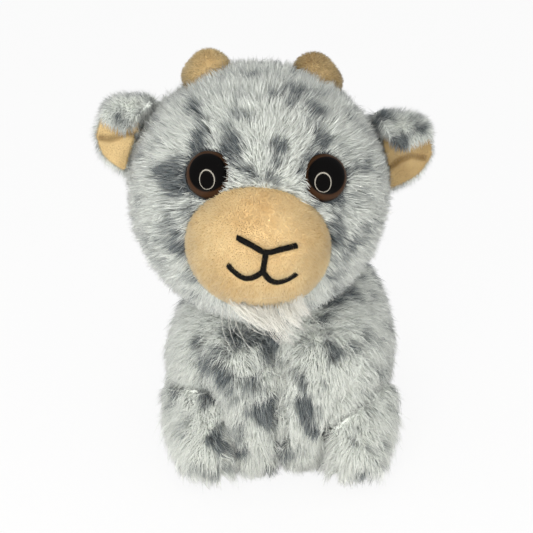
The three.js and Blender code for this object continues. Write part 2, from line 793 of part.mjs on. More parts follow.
for (const [name, side] of [["left", 1], ["right", -1]]) {
  head.add(meshOf(`horn_${name}`, makeHorn(side), COLOUR.tanPile));
  head.add(meshOf(`ear_back_${name}`, makeEarBack(side), COLOUR.greyFur));
  head.add(meshOf(`ear_lining_${name}`, makeEarLining(side), COLOUR.tanPile));
  head.add(meshOf(`eye_${name}`, makeEye(side), COLOUR.eyeBrown));
  head.add(meshOf(`eye_washer_${name}`, makeWasher(side), COLOUR.washerWhite));
  goat.add(meshOf(`front_leg_${name}`, makeFrontLeg(side), COLOUR.greyFur));
  goat.add(meshOf(`hind_leg_${name}`, makeHindLeg(side), COLOUR.greyFur));
}

// The origin is the middle of the goat's footprint, on the seat surface.
const box = new THREE.Box3().setFromObject(goat, true);
goat.position.set(-(box.min.x + box.max.x) / 2, -(box.min.y + box.max.y) / 2, -box.min.z);

export default goat;
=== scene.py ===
"""The seated plush goat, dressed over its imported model: fur, short pile, eyes and stitching."""

import json
import logging
import math
from dataclasses import dataclass, field
from enum import Enum
from typing import Any, Callable

import bmesh
import bpy
import numpy as np
from mathutils import Matrix, Vector, noise
from mathutils.bvhtree import BVHTree
from mathutils.kdtree import KDTree

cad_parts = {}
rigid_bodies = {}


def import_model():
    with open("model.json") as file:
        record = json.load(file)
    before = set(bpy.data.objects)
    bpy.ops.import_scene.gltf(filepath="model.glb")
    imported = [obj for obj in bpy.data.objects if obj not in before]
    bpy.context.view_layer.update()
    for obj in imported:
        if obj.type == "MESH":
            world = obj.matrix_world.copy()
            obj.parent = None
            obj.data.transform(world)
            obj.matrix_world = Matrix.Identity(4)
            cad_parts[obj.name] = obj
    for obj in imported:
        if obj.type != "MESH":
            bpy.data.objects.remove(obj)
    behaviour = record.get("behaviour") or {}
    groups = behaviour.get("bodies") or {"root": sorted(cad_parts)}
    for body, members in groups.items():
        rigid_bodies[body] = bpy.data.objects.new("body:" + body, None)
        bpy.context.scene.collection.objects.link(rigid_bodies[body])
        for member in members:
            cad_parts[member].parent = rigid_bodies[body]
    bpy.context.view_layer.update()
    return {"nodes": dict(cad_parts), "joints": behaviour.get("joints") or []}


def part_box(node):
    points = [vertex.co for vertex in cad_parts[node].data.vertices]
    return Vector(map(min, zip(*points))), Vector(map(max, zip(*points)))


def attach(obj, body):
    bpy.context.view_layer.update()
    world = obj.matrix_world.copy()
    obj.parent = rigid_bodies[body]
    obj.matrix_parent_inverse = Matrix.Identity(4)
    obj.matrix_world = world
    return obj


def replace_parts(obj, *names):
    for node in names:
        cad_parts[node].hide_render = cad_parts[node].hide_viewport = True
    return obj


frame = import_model()
LOG = logging.getLogger("plush_goat")
MM = 0.001
SEED = 20
STRANDS_ABOVE = 0.4
POINTS_ABOVE = 0.2
noise.seed_set(SEED)

Points = np.ndarray
Comb = Callable[[Points, Points], Points]
Tone = Callable[[Points], Points]


class Slot(Enum):
    """The names of the record's material slots."""

    FUR = "long_fur"
    PILE = "short_pile"
    BEARD = "beard_hair"
    EYE = "eye_plastic"
    THREAD = "thread"


class Body(Enum):
    """The bodies that the legs ride on."""

    BODY = "body"
    LEG_LEFT = "front_leg_left"
    LEG_RIGHT = "front_leg_right"


def linear(red: int, green: int, blue: int) -> tuple[float, float, float, float]:
    """A colour from its display values, 0 to 255.

    Args:
        red: The red value.
        green: The green value.
        blue: The blue value.

    Returns:
        The same colour as linear values with an alpha of 1.
    """
    shares = [value / 255 for value in (red, green, blue)]
    parts = [s / 12.92 if s <= 0.04045 else ((s + 0.055) / 1.055) ** 2.4 for s in shares]
    return (*parts, 1.0)


def unit(vectors: Points) -> Points:
    """Rows of vectors, each made one long."""
    return vectors / np.maximum(np.linalg.norm(vectors, axis=1, keepdims=True), 1e-9)


def flat_to(vectors: Points, normals: Points) -> Points:
    """Which way each vector points along the surface.

    Args:
        vectors: One vector for each row.
        normals: The surface's normal at each row.

    Returns:
        Unit vectors in the surface.
    """
    return unit(flat_share(vectors, normals))


def flat_share(vectors: Points, normals: Points) -> Points:
    """The part of each vector that lies along the surface, at its own length."""
    return vectors - (vectors * normals).sum(1, keepdims=True) * normals


def ease(values: Points, low: float, high: float) -> Points:
    """Values eased from 0 at low to 1 at high."""
    share = np.clip((values - low) / (high - low), 0, 1)
    return share * share * (3 - 2 * share)


def ripple(points: Points, size: float, shift: float = 0.0) -> Points:
    """Smooth noise at each point.

    Args:
        points: Places in metres.
        size: Size of a ripple in metres.
        shift: Moves the pattern, so that two ripples differ.

    Returns:
        A value of about -1 to 1 for each point.
    """
    scaled = points / size + shift
    return np.array([noise.noise(Vector(p)) for p in scaled])


def drift(points: Points, size: float, shift: float = 0.0) -> Points:
    """Smooth noise vectors at each point, each part about -1 to 1.

    Args:
        points: Places in metres.
        size: Size of a ripple in metres.
        shift: Moves the pattern.

    Returns:
        One vector for each point.
    """
    scaled = points / size + shift
    return np.array([noise.noise_vector(Vector(p))[:] for p in scaled])


# Finishes --------------------------------------------------------------------------------------


@dataclass(frozen=True)
class Finish:
    """A named finish, made as a node material when it is first asked for."""

    name: str

    def material(self) -> bpy.types.Material:
        """The finish's material."""
        made = bpy.data.materials.get(self.name)
        if not made:
            made = bpy.data.materials.new(self.name)
            made.use_nodes = True
            self.wire(made.node_tree.nodes, made.node_tree.links)
        return made

    def wire(self, nodes: Any, links: Any) -> None:
        """Adds the finish's nodes and joins them to its shader."""
        raise NotImplementedError


@dataclass(frozen=True)
class PileFinish(Finish):
    """Pile whose colour runs from root to tip, between a light and a dark print."""

    light_root: tuple[int, int, int]
    light_tip: tuple[int, int, int]
    dark_root: tuple[int, int, int]
    dark_tip: tuple[int, int, int]
    roughness: float = 0.85
    sheen: float = 0.2

    def wire(self, nodes: Any, links: Any) -> None:
        """Colours the pile by the tone and along attributes of its mesh."""
        shader = nodes["Principled BSDF"]
        tone = nodes.new("ShaderNodeAttribute")
        tone.attribute_name = "tone"
        rise = nodes.new("ShaderNodeAttribute")
        rise.attribute_name = "along"
        ends = []
        for light, dark in ((self.light_root, self.dark_root), (self.light_tip, self.dark_tip)):
            mix = nodes.new("ShaderNodeMix")
            mix.data_type = "RGBA"
            mix.inputs["A"].default_value = linear(*light)
            mix.inputs["B"].default_value = linear(*dark)
            links.new(tone.outputs["Fac"], mix.inputs["Factor"])
            ends.append(mix.outputs["Result"])
        strand = nodes.new("ShaderNodeMix")
        strand.data_type = "RGBA"
        links.new(rise.outputs["Fac"], strand.inputs["Factor"])
        links.new(ends[0], strand.inputs["A"])
        links.new(ends[1], strand.inputs["B"])
        links.new(strand.outputs["Result"], shader.inputs["Base Color"])
        shader.inputs["Roughness"].default_value = self.roughness
        shader.inputs["Specular IOR Level"].default_value = 0.25
        shader.inputs["Sheen Weight"].default_value = self.sheen
        shader.inputs["Sheen Roughness"].default_value = 0.5


@dataclass(frozen=True)
class EyeFinish(Finish):
    """Moulded eye: black pupil in a dark brown iris under a clear gloss, its rim darkened as
    painted shade.
    """

    name: str = "eye_gloss"
    pupil: tuple[int, int, int] = (6, 5, 5)
    iris: tuple[int, int, int] = (62, 42, 28)
    # Painted shade: the near-black edge colour at the rim stands for the fur's shadow round the
    # eye.
    edge: tuple[int, int, int] = (24, 18, 15)
    pupil_share: float = 0.76

    def wire(self, nodes: Any, links: Any) -> None:
        """Colours the eye by its mesh's disc attribute, 0 at the middle and 1 at the rim."""
        shader = nodes["Principled BSDF"]
        disc = nodes.new("ShaderNodeAttribute")
        disc.attribute_name = "disc"
        ramp = nodes.new("ShaderNodeValToRGB")
        stops = ramp.color_ramp.elements
        stops[0].position, stops[0].color = self.pupil_share, linear(*self.pupil)
        stops[1].position, stops[1].color = 1.0, linear(*self.edge)
        for place, shade in ((self.pupil_share + 0.06, self.iris), (0.93, self.iris)):
            stop = stops.new(place)
            stop.color = linear(*shade)
        links.new(disc.outputs["Fac"], ramp.inputs["Fac"])
        links.new(ramp.outputs["Color"], shader.inputs["Base Color"])
        shader.inputs["Roughness"].default_value = 0.06
        shader.inputs["Specular IOR Level"].default_value = 0.07


@dataclass(frozen=True)
class ClothFinish(Finish):
    """Plain woven cloth or moulded plastic: one colour with fine noise in its colour and height."""

    colour: tuple[int, int, int]
    shade: tuple[int, int, int]
    grain: float
    roughness: float
    height: float = 0.0002
    shine: float = 0.4

    def wire(self, nodes: Any, links: Any) -> None:
        """Mixes the two colours by noise on Object coordinates."""
        shader = nodes["Principled BSDF"]
        place = nodes.new("ShaderNodeTexCoord")
        grain = nodes.new("ShaderNodeTexNoise")
        grain.inputs["Scale"].default_value = 1 / self.grain
        grain.inputs["Detail"].default_value = 3
        mix = nodes.new("ShaderNodeMix")
        mix.data_type = "RGBA"
        mix.inputs["A"].default_value = linear(*self.colour)
        mix.inputs["B"].default_value = linear(*self.shade)
        bump = nodes.new("ShaderNodeBump")
        bump.inputs["Distance"].default_value = self.height
        links.new(place.outputs["Object"], grain.inputs["Vector"])
        links.new(grain.outputs["Fac"], mix.inputs["Factor"])
        links.new(grain.outputs["Fac"], bump.inputs["Height"])
        links.new(mix.outputs["Result"], shader.inputs["Base Color"])
        links.new(bump.outputs["Normal"], shader.inputs["Normal"])
        shader.inputs["Roughness"].default_value = self.roughness
        shader.inputs["Specular IOR Level"].default_value = self.shine


FUR = PileFinish(
    "mottled_fur", (243, 247, 240), (252, 255, 248), (49, 60, 67), (94, 107, 113), sheen=0.3
)
TAN = PileFinish("tan_nap", (228, 200, 146), (246, 225, 176), (205, 169, 110), (228, 197, 138))
# Tan nap whose dark end carries the painted shade of the goat's left horn, the goat's left ear
# lining and the linings' creases.
TAN_WITH_PAINTED_SHADE = PileFinish(
    "tan_nap_with_painted_shade", (222, 194, 138), (236, 212, 158), (142, 110, 58), (164, 134, 78)
)
CREAM_HAIR = PileFinish(
    "cream_hair", (234, 232, 222), (250, 249, 243), (204, 201, 190), (236, 233, 223), 0.6, 0.1
)
EYE_GLOSS = EyeFinish()
THREAD = ClothFinish("black_thread", (9, 9, 9), (22, 21, 21), 0.0004, 0.7, 0.00005, shine=0.02)
SEAT_CLOTH = ClothFinish("seat_weave", (222, 220, 212), (196, 194, 188), 0.0006, 0.9)
EYE_BUTTON = ClothFinish("eye_button", (14, 11, 9), (20, 15, 12), 0.003, 0.8, 0.00002, shine=0.05)
WASHER_PLASTIC = ClothFinish("washer_moulding", (228, 226, 220), (214, 212, 206), 0.002, 0.5)


# Surfaces --------------------------------------------------------------------------------------


def only(piece: bpy.types.Object) -> bpy.types.Object:
    """Makes a piece the one that is selected and active."""
    bpy.ops.object.select_all(action="DESELECT")
    piece.select_set(True)
    bpy.context.view_layer.objects.active = piece
    return piece


def linked(name: str, mesh: bpy.types.Mesh) -> bpy.types.Object:
    """A new piece with a mesh, put in the scene."""
    piece = bpy.data.objects.new(name, mesh)
    bpy.context.scene.collection.objects.link(piece)
    return piece


def cad_copy(name: str, *nodes: str) -> bpy.types.Object:
    """A new piece with the merged meshes of some CAD nodes.

    Args:
        name: The new piece's name.
        nodes: The CAD nodes to copy.

    Returns:
        The new piece.
    """
    work = bmesh.new()
    for node in nodes:
        work.from_mesh(frame["nodes"][node].data)
    bmesh.ops.remove_doubles(work, verts=work.verts, dist=1e-6)
    mesh = bpy.data.meshes.new(name)
    work.to_mesh(mesh)
    work.free()
    return only(linked(name, mesh))


def remeshed(piece: bpy.types.Object, voxel: float, rounds: int) -> bpy.types.Object:
    """Gives a piece an even mesh and smooths its corners.

    Args:
        piece: The piece.
        voxel: Size of the mesh in millimetres.
        rounds: Rounds of smoothing.

    Returns:
        The same piece.
    """
    only(piece)
    remesh = piece.modifiers.new("remesh", "REMESH")
    remesh.mode = "VOXEL"
    remesh.voxel_size = voxel * MM
    bpy.ops.object.modifier_apply(modifier=remesh.name)
    smooth = piece.modifiers.new("smooth", "SMOOTH")
    smooth.factor = 0.5
    smooth.iterations = rounds
    bpy.ops.object.modifier_apply(modifier=smooth.name)
    return piece


def corners(mesh: bpy.types.Mesh) -> Points:
    """The mesh's points, one row each."""
    flat = np.empty(len(mesh.vertices) * 3)
    mesh.vertices.foreach_get("co", flat)
    return flat.reshape(-1, 3)


def outward(mesh: bpy.types.Mesh) -> Points:
    """The mesh's normals at its points, one row each."""
    flat = np.empty(len(mesh.vertices) * 3)
    mesh.vertex_normals.foreach_get("vector", flat)
    return flat.reshape(-1, 3)


def place_corners(mesh: bpy.types.Mesh, points: Points) -> None:
    """Moves the mesh's points."""
    mesh.vertices.foreach_set("co", points.astype(np.float32).ravel())
    mesh.update()


def seen_from(place: Matrix, points: Points) -> Points:
    """Points of the shared frame, as a piece's own frame has them."""
    back = place.inverted()
    return points @ np.array(back.to_3x3()).T + np.array(back.translation)


def tree_of(points: Points) -> KDTree:
    """A tree of places, for finding the nearest of them."""
    tree = KDTree(len(points))
    for index, point in enumerate(points):
        tree.insert(point, index)
    tree.balance()
    return tree


def near(points: Points, *nodes: str) -> Points:
    """How far each point is from the nearest face of some CAD nodes, in metres."""
    least = np.full(len(points), 1.0)
    for node in nodes:
        mesh = frame["nodes"][node].data
        tree = BVHTree.FromPolygons(
            [v.co for v in mesh.vertices], [p.vertices[:] for p in mesh.polygons]
        )
        found = (tree.find_nearest(Vector(p), 0.03)[3] for p in points)
        least = np.minimum(least, [1.0 if d is None else d for d in found])
    return least


def drawn_in(piece: bpy.types.Object, depth: Points | float) -> bpy.types.Object:
    """Moves a piece's skin inwards along its normals, by a depth in metres."""
    mesh = piece.data
    place_corners(mesh, corners(mesh) - outward(mesh) * np.reshape(depth, (-1, 1)))
    return piece


def attribute(mesh: bpy.types.Mesh, name: str, values: Points) -> None:
    """Writes one number for each point of a mesh."""
    made = mesh.attributes.new(name, "FLOAT", "POINT")
    made.data.foreach_set("value", values.astype(np.float32))


def finish_skin(piece: bpy.types.Object, look: PileFinish, tone: Tone, along: float = 0.0) -> None:
    """Gives a skin its material, its tone and a smooth surface.

    Args:
        piece: The skin.
        look: The finish of its pile.
        tone: The print's tone at a place.
        along: How far up the pile the skin's own colour is.
    """
    mesh = piece.data
    points = corners(mesh)
    attribute(mesh, "tone", tone(points))
    attribute(mesh, "along", np.full(len(points), along))
    mesh.materials.clear()
    mesh.materials.append(look.material())
    mesh.polygons.foreach_set("use_smooth", np.ones(len(mesh.polygons), bool))
    mesh.update()


# Pile ------------------------------------------------------------------------------------------


def full_length(places: Points, normals: Points) -> Points:
    """The same share of its length for each strand."""
    return np.ones(len(places))


@dataclass
class Pile:
    """Strands that stand on a skin, each a closed three-sided spike, straight or bent over."""

    per_mm2: float
    length: float
    lean: float
    radius: float
    bends: int = 1
    uneven: float = 0.25
    tuft_share: float = 0.06
    tuft_pull: float = 0.5
    wander: float = 0.5
    wander_size: float = 9.0
    root_depth: float = 0.3
    tone_spread: float = 0.2
    along_low: float = 0.0
    along_high: float = 1.0
    stray: float = 0.16
    lean_spread: float = 7.0
    lean_swell: float = 10.0
    lean_size: float = 6.0
    lean_low: float = 0.55
    lean_rise: float = 0.75
    taper: float = 0.55
    shortest: float = 0.45
    longest: float = 1.7
    bare_below: float = 0.05

    def roots(self, skin: bpy.types.Object, rng: np.random.Generator) -> tuple[Points, Points]:
        """Places on a skin, spread evenly.

        Args:
            skin: The skin to stand on.
            rng: The source of chance.

        Returns:
            The places and the skin's normals there.
        """
        mesh = skin.data
        mesh.calc_loop_triangles()
        faces = np.empty(len(mesh.loop_triangles) * 3, np.int32)
        mesh.loop_triangles.foreach_get("vertices", faces)
        faces = faces.reshape(-1, 3)
        points, normals = corners(mesh), outward(mesh)
        edges = points[faces[:, 1:]] - points[faces[:, :1]]
        areas = np.linalg.norm(np.cross(edges[:, 0], edges[:, 1]), axis=1) / 2
        count = int(areas.sum() / MM**2 * self.per_mm2)
        steps = (np.arange(count) + rng.random(count)) / count * areas.sum()
        chosen = faces[np.minimum(np.searchsorted(np.cumsum(areas), steps), len(faces) - 1)]
        a, b = rng.random((2, count, 1))
        folded = a + b > 1
        a, b = np.where(folded, 1 - a, a), np.where(folded, 1 - b, b)
        shares = (1 - a - b, a, b)
        places = sum(points[chosen[:, i]] * shares[i] for i in range(3))
        return places, unit(sum(normals[chosen[:, i]] * shares[i] for i in range(3)))

    def lines(
        self,
        places: Points,
        normals: Points,
        comb: Points,
        lengths: Points,
        rng: np.random.Generator,
    ) -> Points:
        """The middle line of each strand.

        Args:
            places: The roots.
            normals: The skin's normals.
            comb: Which way the pile is brushed.
            lengths: Each strand's length in metres.
            rng: The source of chance.

        Returns:
            Points of shape (strand, bend, 3), from the root to the tip.
        """
        count = len(places)
        swirl = drift(places, self.wander_size * MM) * self.wander
        brushed = flat_to(comb + swirl + rng.normal(0, self.stray, (count, 3)), normals)
        lean = self.lean + rng.normal(0, self.lean_spread, count)
        lean = lean + self.lean_swell * ripple(places, self.lean_size * MM, 4.0)
        lean = np.radians(lean)[:, None]
        knots = self.bends + 2
        line = np.empty((count, knots, 3))
        line[:, 0] = places - normals * self.root_depth * MM
        step = lengths[:, None] / (knots - 1)
        for knot in range(1, knots):
            tilt = lean * (self.lean_low + self.lean_rise * (knot - 1) / max(knots - 2, 1))
            heading = normals * np.cos(tilt) + brushed * np.sin(tilt)
            line[:, knot] = line[:, knot - 1] + heading * step
        if self.tuft_share and self.tuft_pull:
            middles = np.nonzero(rng.random(count) < self.tuft_share)[0]
            tree = tree_of(places[middles])
            tuft = middles[np.array([tree.find(p)[1] for p in places])]
            for knot in range(1, knots):
                pull = self.tuft_pull * (knot / (knots - 1)) ** 1.5
                line[:, knot] += (line[tuft, knot] - line[:, knot]) * pull
        return line

    def grow(
        self,
        name: str,
        skin: bpy.types.Object,
        look: PileFinish,
        comb: Comb,
        tone: Tone,
        lengths: Comb,
        seed: int,
        parts: int = 1,
    ) -> list[bpy.types.Object]:
        """Grows the pile on a skin.

        Args:
            name: The pile's name.
            skin: What it stands on.
            look: Its finish.
            comb: Which way it is brushed, from places and normals.
            tone: The print's tone at a place.
            lengths: Each strand's share of the full length, 0 for none.
            seed: The seed of chance.
            parts: How many pieces it comes in.

        Returns:
            The pieces of pile.
        """
        rng = np.random.default_rng(SEED + seed)
        places, normals = self.roots(skin, rng)
        shares = lengths(places, normals)
        kept = shares > self.bare_below
        places, normals, shares = places[kept], normals[kept], shares[kept]
        chance = np.clip(rng.normal(1, self.uneven, len(places)), self.shortest, self.longest)
        reach = self.length * MM * shares * chance
        line = self.lines(places, normals, comb(places, normals), reach, rng)
        line[:, :, 2] = np.maximum(line[:, :, 2], STRANDS_ABOVE * MM)
        tones = tone(places + 0.5 * flat_share(line[:, -1] - line[:, 0], normals))
        tones = np.clip(tones + rng.normal(0, self.tone_spread, len(places)), 0, 1)
        made = []
        for part in range(parts):
            rows = slice(len(places) * part // parts, len(places) * (part + 1) // parts)
            label = name if parts == 1 else f"{name}_{part + 1}"
            made.append(self.spikes(label, line[rows], tones[rows], look, rng))
        return made

    def spikes(
        self, name: str, line: Points, tones: Points, look: PileFinish, rng: np.random.Generator
    ) -> bpy.types.Object:
        """Closed spikes along their middle lines, in one mesh.

        Args:
            name: The piece's name.
            line: The strands' middle lines.
            tones: The tone of each strand.
            look: The finish.
            rng: The source of chance.

        Returns:
            The piece.
        """
        count, knots = line.shape[:2]
        rings = knots - 1
        heading = unit(line[:, -1] - line[:, 0])
        across = unit(np.cross(heading, rng.normal(0, 1, (count, 3))))
        other = np.cross(heading, across)
        size = 3 * rings + 1
        points = np.empty((count, size, 3))
        along = np.empty((count, size))
        for ring in range(rings):
            share = ring / rings
            radius = self.radius * MM * (1 - self.taper * share)
            for side in range(3):
                turn = 2 * math.pi * side / 3
                spread = across * math.cos(turn) + other * math.sin(turn)
                points[:, 3 * ring + side] = line[:, ring] + spread * radius
                along[:, 3 * ring + side] = share
        points[:, -1] = line[:, -1]
        along[:, -1] = 1
        points[:, :, 2] = np.maximum(points[:, :, 2], POINTS_ABOVE * MM)
        faces, cells = self.pattern(rings)
        every = (np.arange(count)[:, None, None] * size + faces[None]).reshape(-1, 3)
        mesh = bpy.data.meshes.new(name)
        mesh.vertices.add(count * size)
        mesh.vertices.foreach_set("co", points.astype(np.float32).ravel())
        mesh.loops.add(every.size)
        mesh.loops.foreach_set("vertex_index", every.astype(np.int32).ravel())
        mesh.polygons.add(len(every))
        mesh.polygons.foreach_set("loop_start", np.arange(0, every.size, 3, dtype=np.int32))
        mesh.polygons.foreach_set("use_smooth", np.ones(len(every), bool))
        mesh.update(calc_edges=True)
        spread = self.along_low + (self.along_high - self.along_low) * along
        attribute(mesh, "along", spread.ravel())
        attribute(mesh, "tone", np.repeat(tones, size))
        side = math.ceil(math.sqrt(count))
        corner = np.stack([np.arange(count) % side, np.arange(count) // side], 1)
        spots = (corner[:, None, None] + 0.08 + 0.84 * cells[None]) / side
        mesh.uv_layers.new(name="OFBake").data.foreach_set("uv", spots.astype(np.float32).ravel())
        mesh.materials.append(look.material())
        return linked(name, mesh)

    @staticmethod
    def pattern(rings: int) -> tuple[Points, Points]:
        """One spike's faces, and where each corner lies in the strand's own cell of the UV map.

        Args:
            rings: Rings of points below the tip.

        Returns:
            Faces as rows of three points, and cells of shape (face, corner, 2).
        """
        tip = 3 * rings
        faces, cells = [(0, 2, 1)], [((0.5, 1.0), (1 / 3, 0.75), (1 / 6, 1.0))]
        for ring in range(rings - 1):
            low, high = 0.7 * ring / (rings - 1), 0.7 * (ring + 1) / (rings - 1)
            for side in range(3):
                a, b = 3 * ring + side, 3 * ring + (side + 1) % 3
                left, right = side / 3, (side + 1) / 3
                faces += [(a, b, b + 3), (a, b + 3, a + 3)]
                cells.append(((left, low), (right, low), (right, high)))
                cells.append(((left, low), (right, high), (left, high)))
        top = 3 * (rings - 1)
        base = 0.7 if rings > 1 else 0.0
        for side in range(3):
            left, right = side / 3, (side + 1) / 3
            faces.append((top + side, top + (side + 1) % 3, tip))
            cells.append(((left, base), (right, base), ((left + right) / 2, 1.0)))
        return np.array(faces), np.array(cells)


@dataclass(frozen=True)
class Mark:
    """A spot of the mottled print: its place in millimetres, its reach and how dark it is."""

    x: float
    y: float
    z: float
    reach: float
    dark: float


@dataclass
class Mottle:
    """The fur's print: marks where the front shows them, clouds elsewhere, marbling all over.

    Each bend is a size, a shift of its noise and a reach; each grain a share, a size and a shift.
    """

    marks: list[Mark] = field(default_factory=list)
    ground: float = 0.1
    clouds: float = 0.5
    cloud_size: float = 11.0
    sunk: float = 3.3
    mottled: float = 1.0
    mark_share: float = 1.15
    dark_at: float = 0.85
    bends: tuple[tuple[float, float, float], ...] = ((9.0, 0.0, 2.0), (3.5, 5.0, 1.4))
    grains: tuple[tuple[float, float, float], ...] = ((0.68, 7.5, 7.0), (0.4, 2.8, 3.0))

    def tone(self, points: Points) -> Points:
        """The print's tone, from 0 for white to 1 for dark, at each place."""
        bent = points
        for size, shift, reach in self.bends:
            bent = bent + drift(points, size * MM, shift) * reach * MM
        marbling = sum(
            share * ripple(points, size * MM, shift) for share, size, shift in self.grains
        )
        total = self.ground + self.mottled * marbling
        hidden = 1 - ease(-points[:, 1], -0.012, 0.012) if self.marks else np.ones(len(points))
        cloud = ripple(bent, self.cloud_size * MM, 11.0)
        total += hidden * self.clouds * (ease(cloud, 0.02, 0.4) - 0.8 * ease(-cloud, 0.02, 0.4))
        for mark in self.marks:
            gap = np.linalg.norm(bent / MM - np.array((mark.x, mark.y, mark.z)), axis=1)
            fade = np.exp(-np.maximum(gap**2 - self.sunk**2, 0) / mark.reach**2)
            total += self.mark_share * mark.dark * fade
        return ease(total, 0.0, self.dark_at)


BODY_PRINT = tuple(
    Mark(*spot)
    for spot in (
        (-10.8, -39.5, 69.3, 5.3, 0.6), (2.3, -37.6, 65.6, 5.9, 0.65), (-0.3, -38.9, 60, 3.9, 0.4),
        (-26.9, -32.7, 59.1, 4.5, 0.6), (-29.7, -24.8, 66.8, 4, 0.4),
        (-25.4, -38.3, 42.2, 4.5, 0.65), (-25.2, -43.3, 38.4, 3.4, 0.5),
        (-17.5, -47.9, 52.3, 4.4, 0.6), (-9.1, -50.7, 49.1, 4.4, 0.55), (0.6, -49.1, 40.4, 4, 0.7),
        (1, -49.5, 33.4, 4, 0.65), (-6.6, -51.1, 37.2, 3.6, 0.5), (-19.1, -51.5, 29.7, 4.4, 0.65),
        (-19.5, -53.5, 21, 4.4, 0.7), (-10.3, -48.4, 15.6, 4, 0.7), (-11.1, -49.5, 25, 2.5, 0.35),
        (7.6, -42, 12.9, 3.6, 0.5), (5.3, -47, 27.4, 2.5, 0.4), (14.8, -50, 53.2, 3.3, 0.65),
        (15.2, -51, 47.3, 2.9, 0.45), (15.7, -51.7, 41.7, 3.9, 0.7), (19.3, -51.9, 31.5, 3, 0.5),
        (16.5, -42.1, 65, 2.9, 0.35), (28, -45.6, 64.7, 4.3, 0.5), (37.8, -38.4, 61.6, 2.9, 0.35),
        (26, -31.2, 74.6, 3.4, 0.5), (27.8, -20, 77.5, 4.9, 0.55), (37.9, -13.4, 73.8, 5.1, 0.5),
        (41.3, -43.2, 40.4, 3, 0.4), (38, -53.4, 28.5, 3, 0.55), (43.6, -56.1, 22.6, 2.6, 0.25),
        (-38.9, -31.8, 37.8, 3, 0.35), (-24.5, -39.8, 54.5, 3, 0.4),
        (21.4, -50.7, 55.7, 2.9, 0.25), (-23.9, -30.1, 66, 5.4, -0.5),
        (-37.5, -29.6, 46.8, 6, -0.5), (-32.9, -35.9, 41.6, 3.4, -0.4),
        (11.1, -38.6, 67.7, 4.4, -0.5), (11.5, -41, 60.8, 3.4, -0.4),
        (33.9, -44.5, 52.5, 6.8, -0.6), (30.6, -46.7, 45.9, 6.3, -0.55),
        (33.9, -46.9, 36.3, 4.9, -0.5), (9.1, -47.8, 36.4, 4.4, -0.5),
        (13.4, -51.1, 29.9, 3.4, -0.4), (-14, -48.3, 35.2, 3.9, -0.45),
        (-3.7, -50.9, 25, 4.5, -0.5), (-30.2, -52.5, 27.8, 5.4, -0.5),
        (-27.9, -57.2, 21.8, 4.4, -0.35), (-3.8, -48.8, 11.6, 3.6, -0.3),
        (28.8, -51.6, 25, 4.9, -0.45), (35.9, -57.9, 18.7, 4.4, -0.35),
        # The last two marks, (-37.5, -20, 63) and (-42.5, -17, 52), pale ones on the goat's right
        # flank, are painted light.
        (37.5, -26.6, 71.4, 5.4, -0.35), (21.4, -46.2, 64.1, 3.3, -0.3), (-37.5, -20, 63, 7, -0.6),
        (-42.5, -17, 52, 7, -0.6),
    )
)


# The head --------------------------------------------------------------------------------------


@dataclass
class HeadShape:
    """The head ball: its half sizes, its tilt and its place, all as in the solid."""

    half: tuple[float, float, float] = (52.5, 51.0, 52.5)
    look_up: float = 15.0
    roll: float = 3.0
    look_side: float = 3.5

    def place(self) -> Matrix:
        """The head's own frame, which faces -Y, in the shared frame."""
        low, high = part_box("head")
        turn = Matrix.Rotation(math.radians(self.look_side), 4, "Z")
        turn = turn @ Matrix.Rotation(math.radians(self.roll), 4, "Y")
        turn = turn @ Matrix.Rotation(math.radians(-self.look_up), 4, "X")
        return Matrix.Translation((low + high) / 2) @ turn

    def on(self, aside: float, up: float) -> tuple[Vector, Vector]:
        """A point of the fur's surface and its normal, in the shared frame.

        Args:
            aside: Degrees towards the goat's left from straight ahead.
            up: Degrees up from level.

        Returns:
            The point and the outward normal.
        """
        a, u = math.radians(aside), math.radians(up)
        heading = Vector((math.sin(a) * math.cos(u), -math.cos(a) * math.cos(u), math.sin(u)))
        half = Vector(self.half) * MM
        scaled = Vector(h / s for h, s in zip(heading, half))
        point = heading / scaled.length
        normal = Vector(p / s / s for p, s in zip(point, half)).normalized()
        place = self.place()
        return place @ point, (place.to_3x3() @ normal).normalized()

    def mark(self, aside: float, up: float, reach: float, dark: float) -> Mark:
        """A mark of the print at two angles of the head."""
        spot = self.on(aside, up)[0] / MM
        return Mark(spot.x, spot.y, spot.z, reach, dark)


